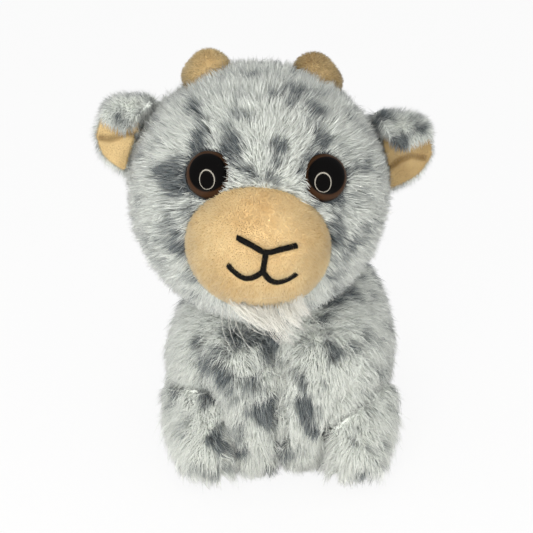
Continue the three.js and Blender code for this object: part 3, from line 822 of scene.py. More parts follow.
@dataclass
class Head:
    """The furry head ball, with its muzzle, horns, eyes, stitching and beard."""

    shape: HeadShape = field(default_factory=HeadShape)
    pile_depth: float = 3.4
    eye_out: float = 25.8
    eye_up: float = 15.0
    eye_turned_in: float = 24.0
    eye_fuller: float = 1.3
    eye_height: float = 5.8
    eye_outer: float = 8.5
    eye_inner: float = 9.3
    eye_tall: float = 9.2
    eye_sunk: float = 4.0
    eye_bare: float = 9.1
    pupil_up: float = 0.09
    muzzle_half: tuple[float, float, float] = (28.0, 24.0, 25.5)
    muzzle_sunk: float = 12.0
    muzzle_drop: float = 13.8
    muzzle_aside: float = -2.2
    muzzle_roll: float = 7.0
    muzzle_pile: float = 1.3
    groove: float = 0.75
    groove_wide: float = 2.4
    stitch_radius: float = 0.17
    stitch_long: float = 2.3
    stitch_gap: float = 0.3
    stitch_proud: float = 0.5
    beard_hairs: int = 620
    beard_locks: tuple[float, ...] = (27, 22, 14, 15, 17, 22, 18, 16, 13)
    beard_knots: int = 7
    fur: Pile = field(
        default_factory=lambda: Pile(
            1.18, 7.6, 56.0, 0.175, wander=0.85, tuft_share=0.04, tuft_pull=0.42
        )
    )
    under: Pile = field(
        default_factory=lambda: Pile(
            2.3, 5.4, 48.0, 0.19, bends=0, wander=0.85, tuft_share=0.04, tuft_pull=0.3
        )
    )
    nap: Pile = field(
        default_factory=lambda: Pile(
            8.6, 2.0, 56.0, 0.16, bends=0, uneven=0.15, tuft_pull=0.2, wander=0.9
        )
    )

    def mottle(self) -> Mottle:
        """The print of the head, with the marks that the face shows and painted shade round the
        eyes and on the goat's left jaw.
        """
        spots = [
            (-35, 38, 5.8, 0.5), (-37, 29, 4, 0.6), (-20, 31, 4, 0.5), (-48, 41, 3.8, 0.3),
            (-17, 46, 4, 0.4), (-22, 26, 2.9, 0.5), (-49, 11, 6.3, 0.5), (-37, 6, 4.2, 0.5),
            (-57, 14, 4, 0.35), (-39, -4, 4.8, 0.55), (-46, -5, 4.6, 0.35), (-41, -17, 4.6, 0.5),
            (-45, -13, 4, 0.35), (9, 28, 2.9, 0.6), (4, 20, 2, 0.3), (-9, 14, 3.1, 0.6),
            (-4, 12, 2, 0.45), (3, 14, 2.7, 0.6), (-9, 20, 2, 0.3), (22, 13, 3.6, 0.5),
            (14, 19, 2.2, 0.35), (30, 31, 3.8, 0.35), (36, 13, 2.9, 0.5), (35, 6, 3.8, 0.6),
            (44, 3, 4, 0.35), (34, -6, 4.4, 0.6), (36, -13, 4, 0.5), (45, -12, 4, 0.35),
            # The marks at (50, -16) and (41, -25), on the goat's left jaw, are painted shade.
            (55, 14, 3, 0.3), (50, -16, 6, 0.45), (41, -25, 5, 0.35), (29, 59, 4.7, 0.35),
            (-20, 68, 4.4, 0.3), (33, 46, 3.4, 0.25), (57, 43, 3.9, 0.25), (-53, 31, 6.8, -0.5),
            (-57, 22, 4.3, -0.45), (0, 42, 6.3, -0.6), (11, 38, 4.6, -0.55), (22, 32, 3.4, -0.4),
            (-14, 15, 2.9, -0.4), (10, 17, 2.9, -0.45), (38, 22, 3.8, -0.5), (28, -1, 2.9, -0.5),
            (-72, 2, 4.5, -0.25), (15, 28, 2.5, -0.25),
        ]
        # Painted shade: a dark mark round each eye.
        painted_eye_shade = [(side * self.eye_out, self.eye_up, 9.5, 0.4) for side in (1, -1)]
        return Mottle([self.shape.mark(*spot) for spot in spots + painted_eye_shade])

    def eye_frame(self, side: int) -> tuple[Vector, Vector]:
        """Where an eye's axis leaves the fur, and which way it points, turned in by the sewing."""
        point, normal = self.shape.on(side * self.eye_out, self.eye_up)
        upright = self.shape.place().col[2].to_3d()
        return point, Matrix.Rotation(-side * math.radians(self.eye_turned_in), 3, upright) @ normal

    def from_eye(self, side: int, points: Points) -> tuple[Points, Points]:
        """How far points are from an eye's axis, and how high above its foot, in millimetres."""
        middle, axis = (np.array(v) for v in self.eye_frame(side))
        height = (points - middle) @ axis
        radial = np.linalg.norm(points - middle - height[:, None] * axis, axis=1)
        return radial / MM, height / MM

    def print_with_painted_shade(self, points: Points) -> Points:
        """The print on the skin, with painted shade in the crevice round each eye."""
        tone = self.mottle().tone(points)
        for side in (1, -1):
            radial, height = self.from_eye(side, points)
            # Painted shade: the skin darkens in a ring round each eye.
            tone += 0.95 * np.exp(-(((radial - 9.3) / 2.2) ** 2)) * (height > -12)
        return np.minimum(tone, 1.1)

    def comb(self, places: Points, normals: Points) -> Points:
        """The fur is brushed away from the middle of the face, round the eyes."""
        brow = np.array(self.shape.on(0, 10)[0])
        brushed = flat_to(places - brow, normals)
        across = np.array(self.shape.place().col[0].to_3d())
        for side in (1, -1):
            gap = places - np.array(self.eye_frame(side)[0])
            reach = np.linalg.norm(gap, axis=1, keepdims=True)
            outer = np.clip(0.35 + 0.65 * side * (gap @ across)[:, None] / reach, 0, 1)
            near_eye = np.exp(-(((reach / MM - 9) / 6) ** 2))
            brushed = brushed + 0.5 * outer * near_eye * flat_to(gap, normals)
        return unit(brushed)

    def fur_lengths(self, places: Points, normals: Points) -> Points:
        """The fur's share of its length: none under what is sewn on, less beside it.

        Args:
            places: The roots.
            normals: The skin's normals there.

        Returns:
            A share for each root, over 1 beside the ears, where the fur hides their seams.
        """
        tips = places + normals * self.pile_depth * MM
        share = np.ones(len(places))
        sewn = near(tips, "muzzle", "horn_left", "horn_right")
        share[sewn < 0.6 * MM] = 0
        neck = near(tips, "torso")
        share[neck < 0.7 * MM] = 0
        share *= np.where(neck < 3 * MM, 0.7, 1)
        ears = near(tips, "ear_back_left", "ear_back_right")
        share *= 1.4 - 0.4 * ease(ears, 2 * MM, 7 * MM)
        for side in (1, -1):
            radial, height = self.from_eye(side, places)
            round_eye = np.sqrt(np.clip(1 - (radial / self.eye_bare) ** 2, 0, 1))
            dome = self.eye_height * round_eye - 3.8
            ahead = normals @ np.array(self.eye_frame(side)[1]) > 0
            share[ahead & (radial < self.eye_bare) & (height < dome)] = 0
            share *= np.where(ahead, 0.45 + 0.55 * ease(radial, 8.5, 15), 1)
        return share

    def build_ball(self) -> None:
        """The head's skin and its long fur."""
        bpy.ops.object.select_all(action="DESELECT")
        bpy.ops.mesh.primitive_ico_sphere_add(subdivisions=6, radius=1)
        skin = bpy.context.object
        skin.name = "head_skin"
        inner = [(half - self.pile_depth) * MM for half in self.shape.half]
        skin.data.transform(self.shape.place() @ Matrix.Diagonal((*inner, 1)))
        points = corners(skin.data)
        lumps = 0.5 * MM * ripple(points, 18 * MM)[:, None]
        place_corners(skin.data, points + outward(skin.data) * lumps)
        mottle = self.mottle()
        finish_skin(skin, FUR, self.print_with_painted_shade)
        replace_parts(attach(skin, "head"), "head")
        for label, coat, seed in (("head_fur", self.fur, 1), ("head_underfur", self.under, 6)):
            for piece in coat.grow(
                label, skin, FUR, self.comb, mottle.tone, self.fur_lengths, seed, parts=2
            ):
                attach(piece, "head")

    def muzzle_place(self) -> Matrix:
        """The muzzle's own frame in the shared frame."""
        seat = (self.muzzle_aside, -(self.shape.half[1] - self.muzzle_sunk), -self.muzzle_drop)
        turn = Matrix.Rotation(math.radians(self.muzzle_roll), 4, "Y")
        return self.shape.place() @ Matrix.Translation(Vector(seat) * MM) @ turn

    def muzzle_front(self, x: float, z: float, proud: float = 0.0) -> Vector:
        """A point of the muzzle's front, in the muzzle's frame.

        Args:
            x: Millimetres to the goat's left of the muzzle's middle.
            z: Millimetres above it.
            proud: Millimetres that the point stands off the pile.

        Returns:
            The point in metres.
        """
        wide, deep, high = self.muzzle_half
        share = max(1 - (x / wide) ** 2 - (z / high) ** 2, 0.0)
        return Vector((x, -deep * math.sqrt(share) - proud, z)) * MM

    def strokes(self) -> list[list[tuple[float, float]]]:
        """The strokes of the nose and mouth, in millimetres in the muzzle's front view."""
        nose = [(-10.2, 5.4), (-4.6, 3.6), (1.0, 1.8), (6.6, 3.6), (12.2, 5.4)]
        bar = [(1.0, 1.8), (1.0, -2.0), (1.0, -5.8)]
        lips = []
        for side in (1, -1):
            knots = [(0, 0), (0.25, -2.9), (0.5, -3.6), (0.8, -1.8), (1, 0.4)]
            lips.append([(1 + side * 13 * out, -5.8 + drop) for out, drop in knots])
        return [nose, bar, *lips]

    @staticmethod
    def smooth_stroke(knots: list[tuple[float, float]], gap: float) -> list[tuple[float, float]]:
        """Even points along a smooth curve through some knots.

        Args:
            knots: The knots, in millimetres.
            gap: The wanted gap between points.

        Returns:
            The points.
        """
        ends = [knots[0], *knots, knots[-1]]
        fine = []
        for i in range(len(knots) - 1):
            a, b, c, d = (np.array(ends[i + k], float) for k in range(4))
            for step in range(24):
                t = step / 24
                square = (2 * a - 5 * b + 4 * c - d) * t**2
                cube = (3 * b - a - 3 * c + d) * t**3
                fine.append(0.5 * (2 * b + (c - a) * t + square + cube))
        fine.append(np.array(knots[-1], float))
        fine = np.array(fine)
        run = np.concatenate([[0], np.cumsum(np.linalg.norm(np.diff(fine, axis=0), axis=1))])
        spots = np.linspace(0, run[-1], max(int(run[-1] / gap), 2))
        even = [np.interp(spots, run, fine[:, i]) for i in range(2)]
        return [tuple(p) for p in np.stack(even, 1)]

    def stitch_spots(self) -> Points:
        """Places along all the strokes, in the shared frame."""
        place = self.muzzle_place()
        spots = [
            place @ self.muzzle_front(x, z)
            for stroke in self.strokes()
            for x, z in self.smooth_stroke(stroke, 0.6)
        ]
        return np.array([s[:] for s in spots])

    def build_muzzle(self) -> None:
        """The muzzle: an egg of short tan pile, drawn in at its stitching and at a dart below."""
        bpy.ops.object.select_all(action="DESELECT")
        bpy.ops.mesh.primitive_ico_sphere_add(subdivisions=6, radius=1)
        skin = bpy.context.object
        skin.name = "muzzle_skin"
        inner = [(half - self.muzzle_pile) * MM for half in self.muzzle_half]
        skin.data.transform(self.muzzle_place() @ Matrix.Diagonal((*inner, 1)))
        points, normals = corners(skin.data), outward(skin.data)
        local = seen_from(self.muzzle_place(), points)
        stitched = tree_of(self.stitch_spots())
        gap = np.array([stitched.find(p)[2] for p in points]) / MM
        depth = self.groove * np.exp(-((gap / self.groove_wide) ** 2))
        x, z = local[:, 0] / MM, local[:, 2] / MM
        front = local[:, 1] < 0
        dart = np.exp(-(((x + 3.5 - 0.12 * (z + 24)) / 1.1) ** 2)) * ease(-z, 16, 22) * front
        puff = np.exp(-(((np.abs(x - 1) - 9) / 7) ** 2) - (((z + 4) / 8) ** 2)) * front
        depth += 1.2 * dart - 0.7 * puff - 0.25 * ripple(points, 14 * MM, 2.0)
        place_corners(skin.data, points - normals * depth[:, None] * MM)
        finish_skin(skin, TAN, self.muzzle_tone, 0.5)
        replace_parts(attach(skin, "head"), "muzzle")

        def lengths(places: Points, normals_here: Points) -> Points:
            """None under the stitching or inside the head."""
            share = np.ones(len(places))
            share[np.array([stitched.find(p)[2] for p in places]) < 1.5 * MM] = 0
            inside = seen_from(self.shape.place(), places)
            half = (np.array(self.shape.half) - 3) * MM
            share[((inside / half) ** 2).sum(1) < 1] = 0
            return share

        def comb(places: Points, normals_here: Points) -> Points:
            """The pile is brushed down from the bridge of the nose."""
            bridge = np.array(self.muzzle_place() @ self.muzzle_front(1.0, 25.0))
            return flat_to(places - bridge, normals_here)

        for piece in self.nap.grow(
            "muzzle_pile", skin, TAN, comb, self.muzzle_tone, lengths, 2
        ):
            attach(piece, "head")

    @staticmethod
    def muzzle_tone(points: Points) -> Points:
        """Faint shading of brushed short pile."""
        broad, fine = ripple(points, 12 * MM, 5.0), ripple(points, 3 * MM, 1.0)
        return np.clip(0.5 + 0.45 * broad + 0.35 * fine, 0, 1)

    def build_stitches(self) -> None:
        """Satin stitch: rows of black thread laid side by side across each stroke."""
        bpy.ops.object.select_all(action="DESELECT")
        bpy.ops.mesh.primitive_cylinder_add(
            vertices=6,
            radius=self.stitch_radius,
            depth=self.stitch_long,
            rotation=(0, math.pi / 2, 0),
        )
        stitch = bpy.context.object
        bpy.ops.object.transform_apply(location=False, rotation=True, scale=False)
        bpy.ops.object.mode_set(mode="EDIT")
        bpy.ops.mesh.select_all(action="SELECT")
        for share in (-0.6, 0.0, 0.6):
            bpy.ops.mesh.select_all(action="SELECT")
            bpy.ops.mesh.bisect(plane_co=(share, 0, 0), plane_no=(1, 0, 0))
        bpy.ops.object.mode_set(mode="OBJECT")
        points = corners(stitch.data)
        points[:, 2] -= 0.55 * (points[:, 0] / 1.05) ** 2
        template = points * MM
        faces = [list(p.vertices) for p in stitch.data.polygons]
        bpy.data.objects.remove(stitch)
        rng = np.random.default_rng(SEED + 3)
        place = self.muzzle_place()
        verts: list[Vector] = []
        made: list[list[int]] = []
        for knots in self.strokes():
            run = self.smooth_stroke(knots, self.stitch_gap)
            for i, (x, z) in enumerate(run):
                before, after = run[max(i - 1, 0)], run[min(i + 1, len(run) - 1)]
                here = self.muzzle_front(x, z, self.stitch_proud)
                ahead = (self.muzzle_front(*after) - self.muzzle_front(*before)).normalized()
                wide, deep, high = self.muzzle_half
                normal = Vector((here.x / wide**2, here.y / deep**2, here.z / high**2))
                normal.normalize()
                across = ahead.cross(normal).normalized()
                across = (across + ahead * (0.25 + rng.normal(0, 0.06))).normalized()
                ahead = normal.cross(across)
                basis = Matrix((across, ahead, normal)).transposed().to_4x4()
                scale = Matrix.Diagonal((rng.normal(0.95, 0.05), 1, 1, 1))
                turn = place @ Matrix.Translation(here) @ basis @ scale
                start = len(verts)
                verts += [turn @ Vector(p) for p in template]
                made += [[start + v for v in face] for face in faces]
        mesh = bpy.data.meshes.new("mouth_stitches")
        mesh.from_pydata(verts, [], made)
        piece = only(linked("mouth_stitches", mesh))
        bpy.ops.object.shade_smooth_by_angle(angle=math.radians(50))
        mesh.materials.append(THREAD.material())
        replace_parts(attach(piece, "head"), "face_embroidery")

    def build_horn(self, side: int) -> None:
        """A blunt horn of short tan pile, its foot sunk in the fur."""
        name = "horn_left" if side > 0 else "horn_right"
        skin = remeshed(cad_copy(f"{name}_skin", name), 0.7, 6)
        drawn_in(skin, 0.8 * MM)
        points = corners(skin.data)
        place = self.shape.place()
        local = seen_from(place, points)
        size = np.sqrt(((local / (np.array(self.shape.half) * MM)) ** 2).sum(1))
        foot = 1 - ease(size, 1.0, 1.06)
        seat, sunk_along = (np.array(v) for v in self.shape.on(side * 98, 66))
        upright, across = (np.array(place.col[i].to_3d()) for i in (2, 0))
        radial = flat_share(points - seat, np.tile(upright, (len(points), 1)))
        outer = np.clip(0.5 + 0.5 * side * unit(radial) @ across, 0, 1)
        points += radial * ((1 - ease(size, 1.0, 1.2)) * (0.12 + 0.3 * outer))[:, None]
        points -= (foot * 5.5 * MM)[:, None] * sunk_along
        place_corners(skin.data, points)

        def tone(spots: Points) -> Points:
            """Brushed short pile, darker than the muzzle's, with painted shade on the goat's left
            horn.
            """
            # Painted shade: the goat's left horn takes a darker tone than its right.
            shade = 0.34 if side < 0 else 0.56
            return shade + 0.35 * ripple(spots, 8 * MM, 5.0) + 0.2 * ripple(spots, 3 * MM, 1.0)

        finish_skin(skin, TAN_WITH_PAINTED_SHADE, tone, 0.5)
        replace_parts(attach(skin, "head"), name)

        def comb(places: Points, normals: Points) -> Points:
            """The pile is brushed down from the tip."""
            return flat_to(np.tile((0.1 * side, 0.0, -1.0), (len(places), 1)), normals)

        for piece in self.nap.grow(
            f"{name}_pile", skin, TAN_WITH_PAINTED_SHADE, comb, tone, full_length, 10 + side
        ):
            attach(piece, "head")

    def build_eye(self, side: int) -> None:
        """The moulded eye's glossy dome, fuller on its outer side, its iris round the pupil."""
        name = "eye_dome_left" if side > 0 else "eye_dome_right"
        point, axis = self.eye_frame(side)
        bpy.ops.object.select_all(action="DESELECT")
        bpy.ops.mesh.primitive_uv_sphere_add(segments=64, ring_count=48, radius=1)
        dome = bpy.context.object
        dome.name = name
        points = corners(dome.data)
        middles = np.outer(points[:, 2], (0, self.pupil_up))
        radial = np.linalg.norm(points[:, :2] - middles, axis=1)
        attribute(dome.data, "disc", np.where(points[:, 2] > -0.01, radial, 1.0))
        rise = np.maximum(points[:, 2], 0)
        points[:, 2] *= np.where(points[:, 2] > 0, self.eye_height, 1.0)
        points[:, 0] *= np.where(side * points[:, 0] > 0, self.eye_outer, self.eye_inner)
        points[:, 1] *= self.eye_tall
        points[:, 0] += side * self.eye_fuller * rise
        points[:, 2] -= self.eye_sunk
        upright = self.shape.place().col[2].to_3d()
        across = upright.cross(axis).normalized()
        basis = Matrix((across, axis.cross(across), axis)).transposed().to_4x4()
        place_corners(dome.data, points * MM)
        dome.data.transform(Matrix.Translation(point) @ basis)
        dome.data.polygons.foreach_set("use_smooth", np.ones(len(dome.data.polygons), bool))
        dome.data.materials.append(EYE_GLOSS.material())
        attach(dome, "head")

    def build_beard(self) -> None:
        """Loose long hairs that hang from under the muzzle and curl aside."""
        rng = np.random.default_rng(SEED + 5)
        count = self.beard_hairs
        place = self.shape.place()
        aside = rng.uniform(-15, 14, count)
        ahead = rng.uniform(-53, -45, count) + np.abs(aside) * 0.15
        edge = 1 - ((aside - self.muzzle_aside) / 27) ** 2
        level = -self.muzzle_drop - 21.5 * np.sqrt(np.clip(edge, 0.1, 1)) + 1.5
        roots = np.stack([aside, ahead, level], 1) * MM
        roots = roots @ np.array(place.to_3x3()).T + np.array(place.translation)
        lock = np.floor((aside + 15) / 3.3 + rng.uniform(-0.4, 0.4, count)).clip(0, 8).astype(int)
        own = rng.normal(0, 1, (9, 4))
        own[:2, 0] += 1.6
        reach = np.array(self.beard_locks)[lock] + 2 * own[lock, 3]
        length = np.clip(reach * rng.uniform(0.55, 1.15, count), 7, 32) * MM
        knots = self.beard_knots
        line = np.empty((count, knots, 3))
        line[:, 0] = roots
        stray = rng.normal(0, 1, (count, 3))
        stray *= np.where(rng.random(count) < 0.12, 0.55, 0.13)[:, None]
        start = np.array((-0.1, -0.75, -0.65)) + 0.12 * own[lock, :3] + stray
        end = np.array((0.7, 0.0, -0.75)) + 0.25 * own[lock, :3] + 1.3 * stray
        for knot in range(1, knots):
            share = knot / (knots - 1)
            heading = unit(start * (1 - share) + end * share)
            line[:, knot] = line[:, knot - 1] + heading * (length / (knots - 1))[:, None]
        middles = np.array([line[lock == n].mean(0) for n in range(9)])
        gather = 0.6 * (np.arange(knots) / (knots - 1)) ** 1.3
        held = np.where(np.abs(stray).max(1) < 0.5, 1, 0.2)[:, None, None]
        line += (middles[lock] - line) * held * gather[:, None]
        hair = Pile(per_mm2=1, length=1, lean=1, radius=0.1)
        tones = np.clip(rng.normal(0.2, 0.2, count), 0, 1)
        piece = hair.spikes("beard_hair", line, tones, CREAM_HAIR, rng)
        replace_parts(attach(piece, "head"), "beard")

    def build(self) -> None:
        """All the pieces of the head but the ears."""
        self.build_ball()
        LOG.info("head ball and fur")
        self.build_muzzle()
        LOG.info("muzzle")
        self.build_stitches()
        LOG.info("nose and mouth stitches")
        for side in (1, -1):
            self.build_horn(side)
            self.build_eye(side)
        LOG.info("horns and eyes")
        self.build_beard()
        LOG.info("beard")


EAR_PRINT = {
    "left": (
        (46.4, -5.7, 149, 4.3, 0.6), (47.7, -9.9, 156.7, 3.2, 0.45), (54.8, -16.3, 147, 3.7, 0.6),
        (63.8, -13.5, 151.6, 2.8, 0.5), (56.1, -11.9, 154.8, 3.2, -0.3),
    ),
    "right": (
        (-51.7, -19.2, 162.6, 2.8, 0.3), (-58.9, -20.7, 159.8, 2.3, 0.3),
        (-54.6, -17.2, 164.4, 2.8, -0.3),
    ),
}


EAR_CREASE = {
    "left": ((51, -9.3, 133.4), (55.7, -9.5, 137.3), (60.7, -8.8, 138.8), (65.7, -8.7, 137.9)),
    "right": (
        (-66.7, -15.3, 149.2), (-63.1, -15.3, 148.8), (-59.8, -14.9, 149.5),
        (-56.1, -14.2, 151.4), (-52.6, -13.9, 150),
    ),
}


@dataclass
class Ear:
    """A folded ear: a furry back and a short-pile lining, on the ear's own body."""

    side: int
    root_reach: float = 12.0
    fur: Pile = field(
        default_factory=lambda: Pile(
            6.5, 3.4, 66.0, 0.14, bends=0, uneven=0.15, tuft_share=0.0, wander=0.35
        )
    )
    nap: Pile = field(
        default_factory=lambda: Pile(
            7.6, 1.4, 48.0, 0.11, bends=0, tuft_share=0.0, tone_spread=0.1
        )
    )

    def crease(self, points: Points) -> Points:
        """How deep in the lining's crease each point is, from 0 to 1."""
        knots = np.array(EAR_CREASE["left" if self.side > 0 else "right"])
        runs = np.linspace(0, len(knots) - 1, 40)
        line = np.stack([np.interp(runs, range(len(knots)), knots[:, i]) for i in range(3)], 1)
        gap = np.linalg.norm(points[:, None] / MM - line[None], axis=2).min(1)
        return np.exp(-((gap / 1.2) ** 2))

    def lining_tone_with_painted_shade(self, points: Points) -> Points:
        """Brushed short pile, with painted shade in the crease and over the whole lining of the
        goat's left ear.
        """
        # Painted shade: the goat's left ear lining takes a darker tone than its right, and the
        # crease darkens.
        shade = 0.24 if self.side < 0 else 0.55
        return np.clip(shade + 0.3 * ripple(points, 7 * MM, 5.0) + 0.75 * self.crease(points), 0, 1)

    def build(self) -> None:
        """The ear's back with its fur, and its lining with its pile."""
        name = "left" if self.side > 0 else "right"
        body = f"ear_{name}"
        joint = next(j for j in frame["joints"] if j["name"] == f"{body}_flop")
        root = np.array(joint["pos_m"])
        skin = remeshed(cad_copy(f"ear_skin_{name}", f"ear_back_{name}"), 0.9, 8)
        drawn_in(skin, 0.9 * MM)
        marks = [Mark(*spot) for spot in EAR_PRINT[name]]
        mottle = Mottle(marks, ground=0.3, sunk=0.9, mottled=0.5)
        finish_skin(skin, FUR, mottle.tone)
        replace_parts(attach(skin, body), f"ear_back_{name}")

        def comb(places: Points, normals: Points) -> Points:
            """The fur is brushed down and a little out, and over the head at the root."""
            gap = np.linalg.norm(places - root, axis=1)
            beside = np.exp(-((gap / (self.root_reach * MM)) ** 2))[:, None]
            out = np.array((0.45 * self.side, -0.35, -0.9)) * (1 - beside)
            return flat_to(out + np.array((-0.7 * self.side, -0.5, -1.0)) * beside, normals)

        def lengths(places: Points, normals: Points) -> Points:
            """None between the back and its lining, more over the seam at the root."""
            tips = places + normals * 0.9 * MM
            share = np.ones(len(places))
            share[near(tips, f"ear_lining_{name}") < 1.9 * MM] = 0
            gap = np.linalg.norm(places - root, axis=1)
            return share * (1 + 1.5 * np.exp(-((gap / (self.root_reach * MM)) ** 2)))

        for piece in self.fur.grow(
            f"ear_fur_{name}", skin, FUR, comb, mottle.tone, lengths, 20 + self.side
        ):
            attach(piece, body)
        lining = remeshed(cad_copy(f"ear_lining_skin_{name}", f"ear_lining_{name}"), 0.5, 6)
        drawn_in(lining, self.crease(corners(lining.data)) * 1.1 * MM)
        finish_skin(lining, TAN_WITH_PAINTED_SHADE, self.lining_tone_with_painted_shade, 0.4)
        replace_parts(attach(lining, body), f"ear_lining_{name}")
        label, seed = f"ear_lining_pile_{name}", 30 + self.side
        for piece in self.nap.grow(
            label, lining, TAN_WITH_PAINTED_SHADE, comb, self.lining_tone_with_painted_shade, full_length, seed
        ):
            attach(piece, body)
        LOG.info("ear %s", name)


@dataclass
class Torso:
    """The plump torso with its rump."""

    depth: float = 3.6
    neck_bare: float = 52.2
    neck_seat: float = 56.0
    neck_short: float = 57.0
    shoulder_reach: float = 15.5
    shoulder_share: float = 0.65
    tail_reach: float = 9.0
    fur: Pile = field(
        default_factory=lambda: Pile(
            1.1, 8.5, 55.0, 0.18, wander=0.7, tuft_share=0.04, tuft_pull=0.3
        )
    )
    under: Pile = field(
        default_factory=lambda: Pile(2.03, 5.7, 46.0, 0.2, bends=0, tuft_pull=0.25, wander=0.7)
    )

    def comb(self, places: Points, normals: Points) -> Points:
        """The fur is brushed down and away from the neck, and up over the neck's seam."""
        neck = np.array((-0.003, -0.012, 0.085))
        away = flat_to(places - neck, normals)
        down = flat_to(np.tile((0.0, 0.0, -1.0), (len(places), 1)), normals)
        rim = 1 - ease(self.from_head(places), 53 * MM, 62 * MM)[:, None]
        return unit(away * (1 - 1.6 * rim) + 0.8 * down * (1 - rim))

    @staticmethod
    def from_head(points: Points) -> Points:
        """How far points are from the head's middle, in metres."""
        low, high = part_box("head")
        return np.linalg.norm(points - np.array((low + high) / 2), axis=1)

    def print_with_painted_shade(self, points: Points) -> Points:
        """The print on the skin, with painted shade in the seam under the head."""
        # Painted shade: the skin darkens near the head, in the seam under it.
        seam = 1 - ease(self.from_head(points), 52 * MM, 58 * MM)
        return Mottle(list(BODY_PRINT)).tone(points) + 0.4 * seam

    def lengths(self, places: Points, normals: Points) -> Points:
        """None in the seats of the head, hind legs and tail, less behind a front leg.

        Args:
            places: The roots.
            normals: The skin's normals there.

        Returns:
            The share of its length that each strand keeps.
        """
        tips = places + normals * self.depth * MM
        share = np.ones(len(places))
        share[near(tips, "hind_leg_left", "hind_leg_right", "seat_panel") < 1.2 * MM] = 0
        reach = self.from_head(tips)
        low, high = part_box("head")
        seated = (unit(np.array((low + high) / 2) - places) * normals).sum(1) > 0.9
        share[(reach < self.neck_bare * MM) | (seated & (reach < self.neck_seat * MM))] = 0
        share *= np.where(reach < self.neck_short * MM, 0.6, 1)
        share[near(tips, "front_leg_left", "front_leg_right") < 1.3 * MM] *= 0.5
        shoulder = (self.shoulder_reach, self.shoulder_share)
        seats = {
            "front_leg_left_swing": shoulder,
            "front_leg_right_swing": shoulder,
            "tail_wag": (self.tail_reach, 0.0),
        }
        for joint in frame["joints"]:
            if joint["name"] in seats:
                radius, left = seats[joint["name"]]
                gap = np.linalg.norm(tips - np.array(joint["pos_m"]), axis=1)
                share[gap < radius * MM] *= left
        share *= np.where(normals[:, 2] < -0.6, 0.5, 1)
        return share

    def build(self) -> None:
        """The torso's skin and fur."""
        skin = remeshed(cad_copy("torso_skin", "torso", "seat_panel", "bean_pouch"), 2.0, 4)
        normals = outward(skin.data)
        under = ease(-normals[:, 2], 0.5, 0.9)
        drawn_in(skin, (self.depth * (1 - under) + 2.7 * under) * MM)
        points = corners(skin.data)
        points[:, 2] = np.maximum(points[:, 2], 2.6 * MM)
        place_corners(skin.data, points)
        mottle = Mottle(list(BODY_PRINT))
        finish_skin(skin, FUR, self.print_with_painted_shade)
        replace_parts(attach(skin, "body"), "torso")
        for label, coat, seed in (("torso_fur", self.fur, 40), ("torso_underfur", self.under, 41)):
            for piece in coat.grow(
                label, skin, FUR, self.comb, mottle.tone, self.lengths, seed, parts=2
            ):
                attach(piece, "body")
        LOG.info("torso")


@dataclass
class Leg:
    """A stuffed leg: its node, its body and the nodes that it is sewn against."""

    node: str
    body: Body
    against: tuple[str, ...]
    seed: int
    depth: float = 3.0
    hinge_reach: float = 18.0
    hinge_share: float = 0.35
    fur: Pile = field(
        default_factory=lambda: Pile(
            1.3, 7.6, 54.0, 0.18, wander=0.7, tuft_share=0.04, tuft_pull=0.3
        )
    )
    under: Pile = field(
        default_factory=lambda: Pile(2.4, 5.4, 46.0, 0.185, bends=0, tuft_pull=0.25, wander=0.7)
    )

    def comb(self, places: Points, normals: Points) -> Points:
        """The fur is brushed down the leg and forward over the foot."""
        down = np.tile((0.0, -0.35, -1.0), (len(places), 1))
        return flat_to(down, normals)

    def lengths(self, places: Points, normals: Points) -> Points:
        """None where the leg is sewn on, but short about its joint, and short on the sole."""
        tips = places + normals * self.depth * MM
        share = np.ones(len(places))
        sewn = near(tips, *self.against) < 1.2 * MM
        share[sewn] = 0
        for joint in frame["joints"]:
            if joint["name"] == f"{self.node}_swing":
                gap = np.linalg.norm(tips - np.array(joint["pos_m"]), axis=1)
                share[sewn & (gap < self.hinge_reach * MM)] = self.hinge_share
        share *= 1 + 0.35 * np.abs(normals[:, 0])
        return share * np.where(normals[:, 2] < -0.6, 0.4, 1)

    def build(self) -> None:
        """The leg's skin and fur."""
        skin = remeshed(cad_copy(f"{self.node}_skin", self.node), 1.1, 5)
        points = corners(skin.data)
        free = np.clip(near(points, "torso") / (5 * MM), 0, 1)
        drawn_in(skin, self.depth * MM * free)
        points = corners(skin.data)
        points[:, 2] = np.maximum(points[:, 2], 0.8 * MM)
        place_corners(skin.data, points)
        mottle = Mottle(list(BODY_PRINT))
        finish_skin(skin, FUR, mottle.tone)
        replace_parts(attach(skin, self.body.value), self.node)
        for name, coat, seed in (
            (f"{self.node}_fur", self.fur, self.seed),
            (f"{self.node}_underfur", self.under, self.seed + 20),
        ):
            for piece in coat.grow(name, skin, FUR, self.comb, mottle.tone, self.lengths, seed):
                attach(piece, self.body.value)
        LOG.info("%s", self.node)


def legs() -> list[Leg]:
    """The four legs."""
    return [
        Leg("front_leg_right", Body.LEG_RIGHT, ("torso",), 51),
        Leg("front_leg_left", Body.LEG_LEFT, ("torso",), 52),
        Leg("hind_leg_right", Body.BODY, ("torso",), 53),
        Leg("hind_leg_left", Body.BODY, ("torso",), 54),
    ]


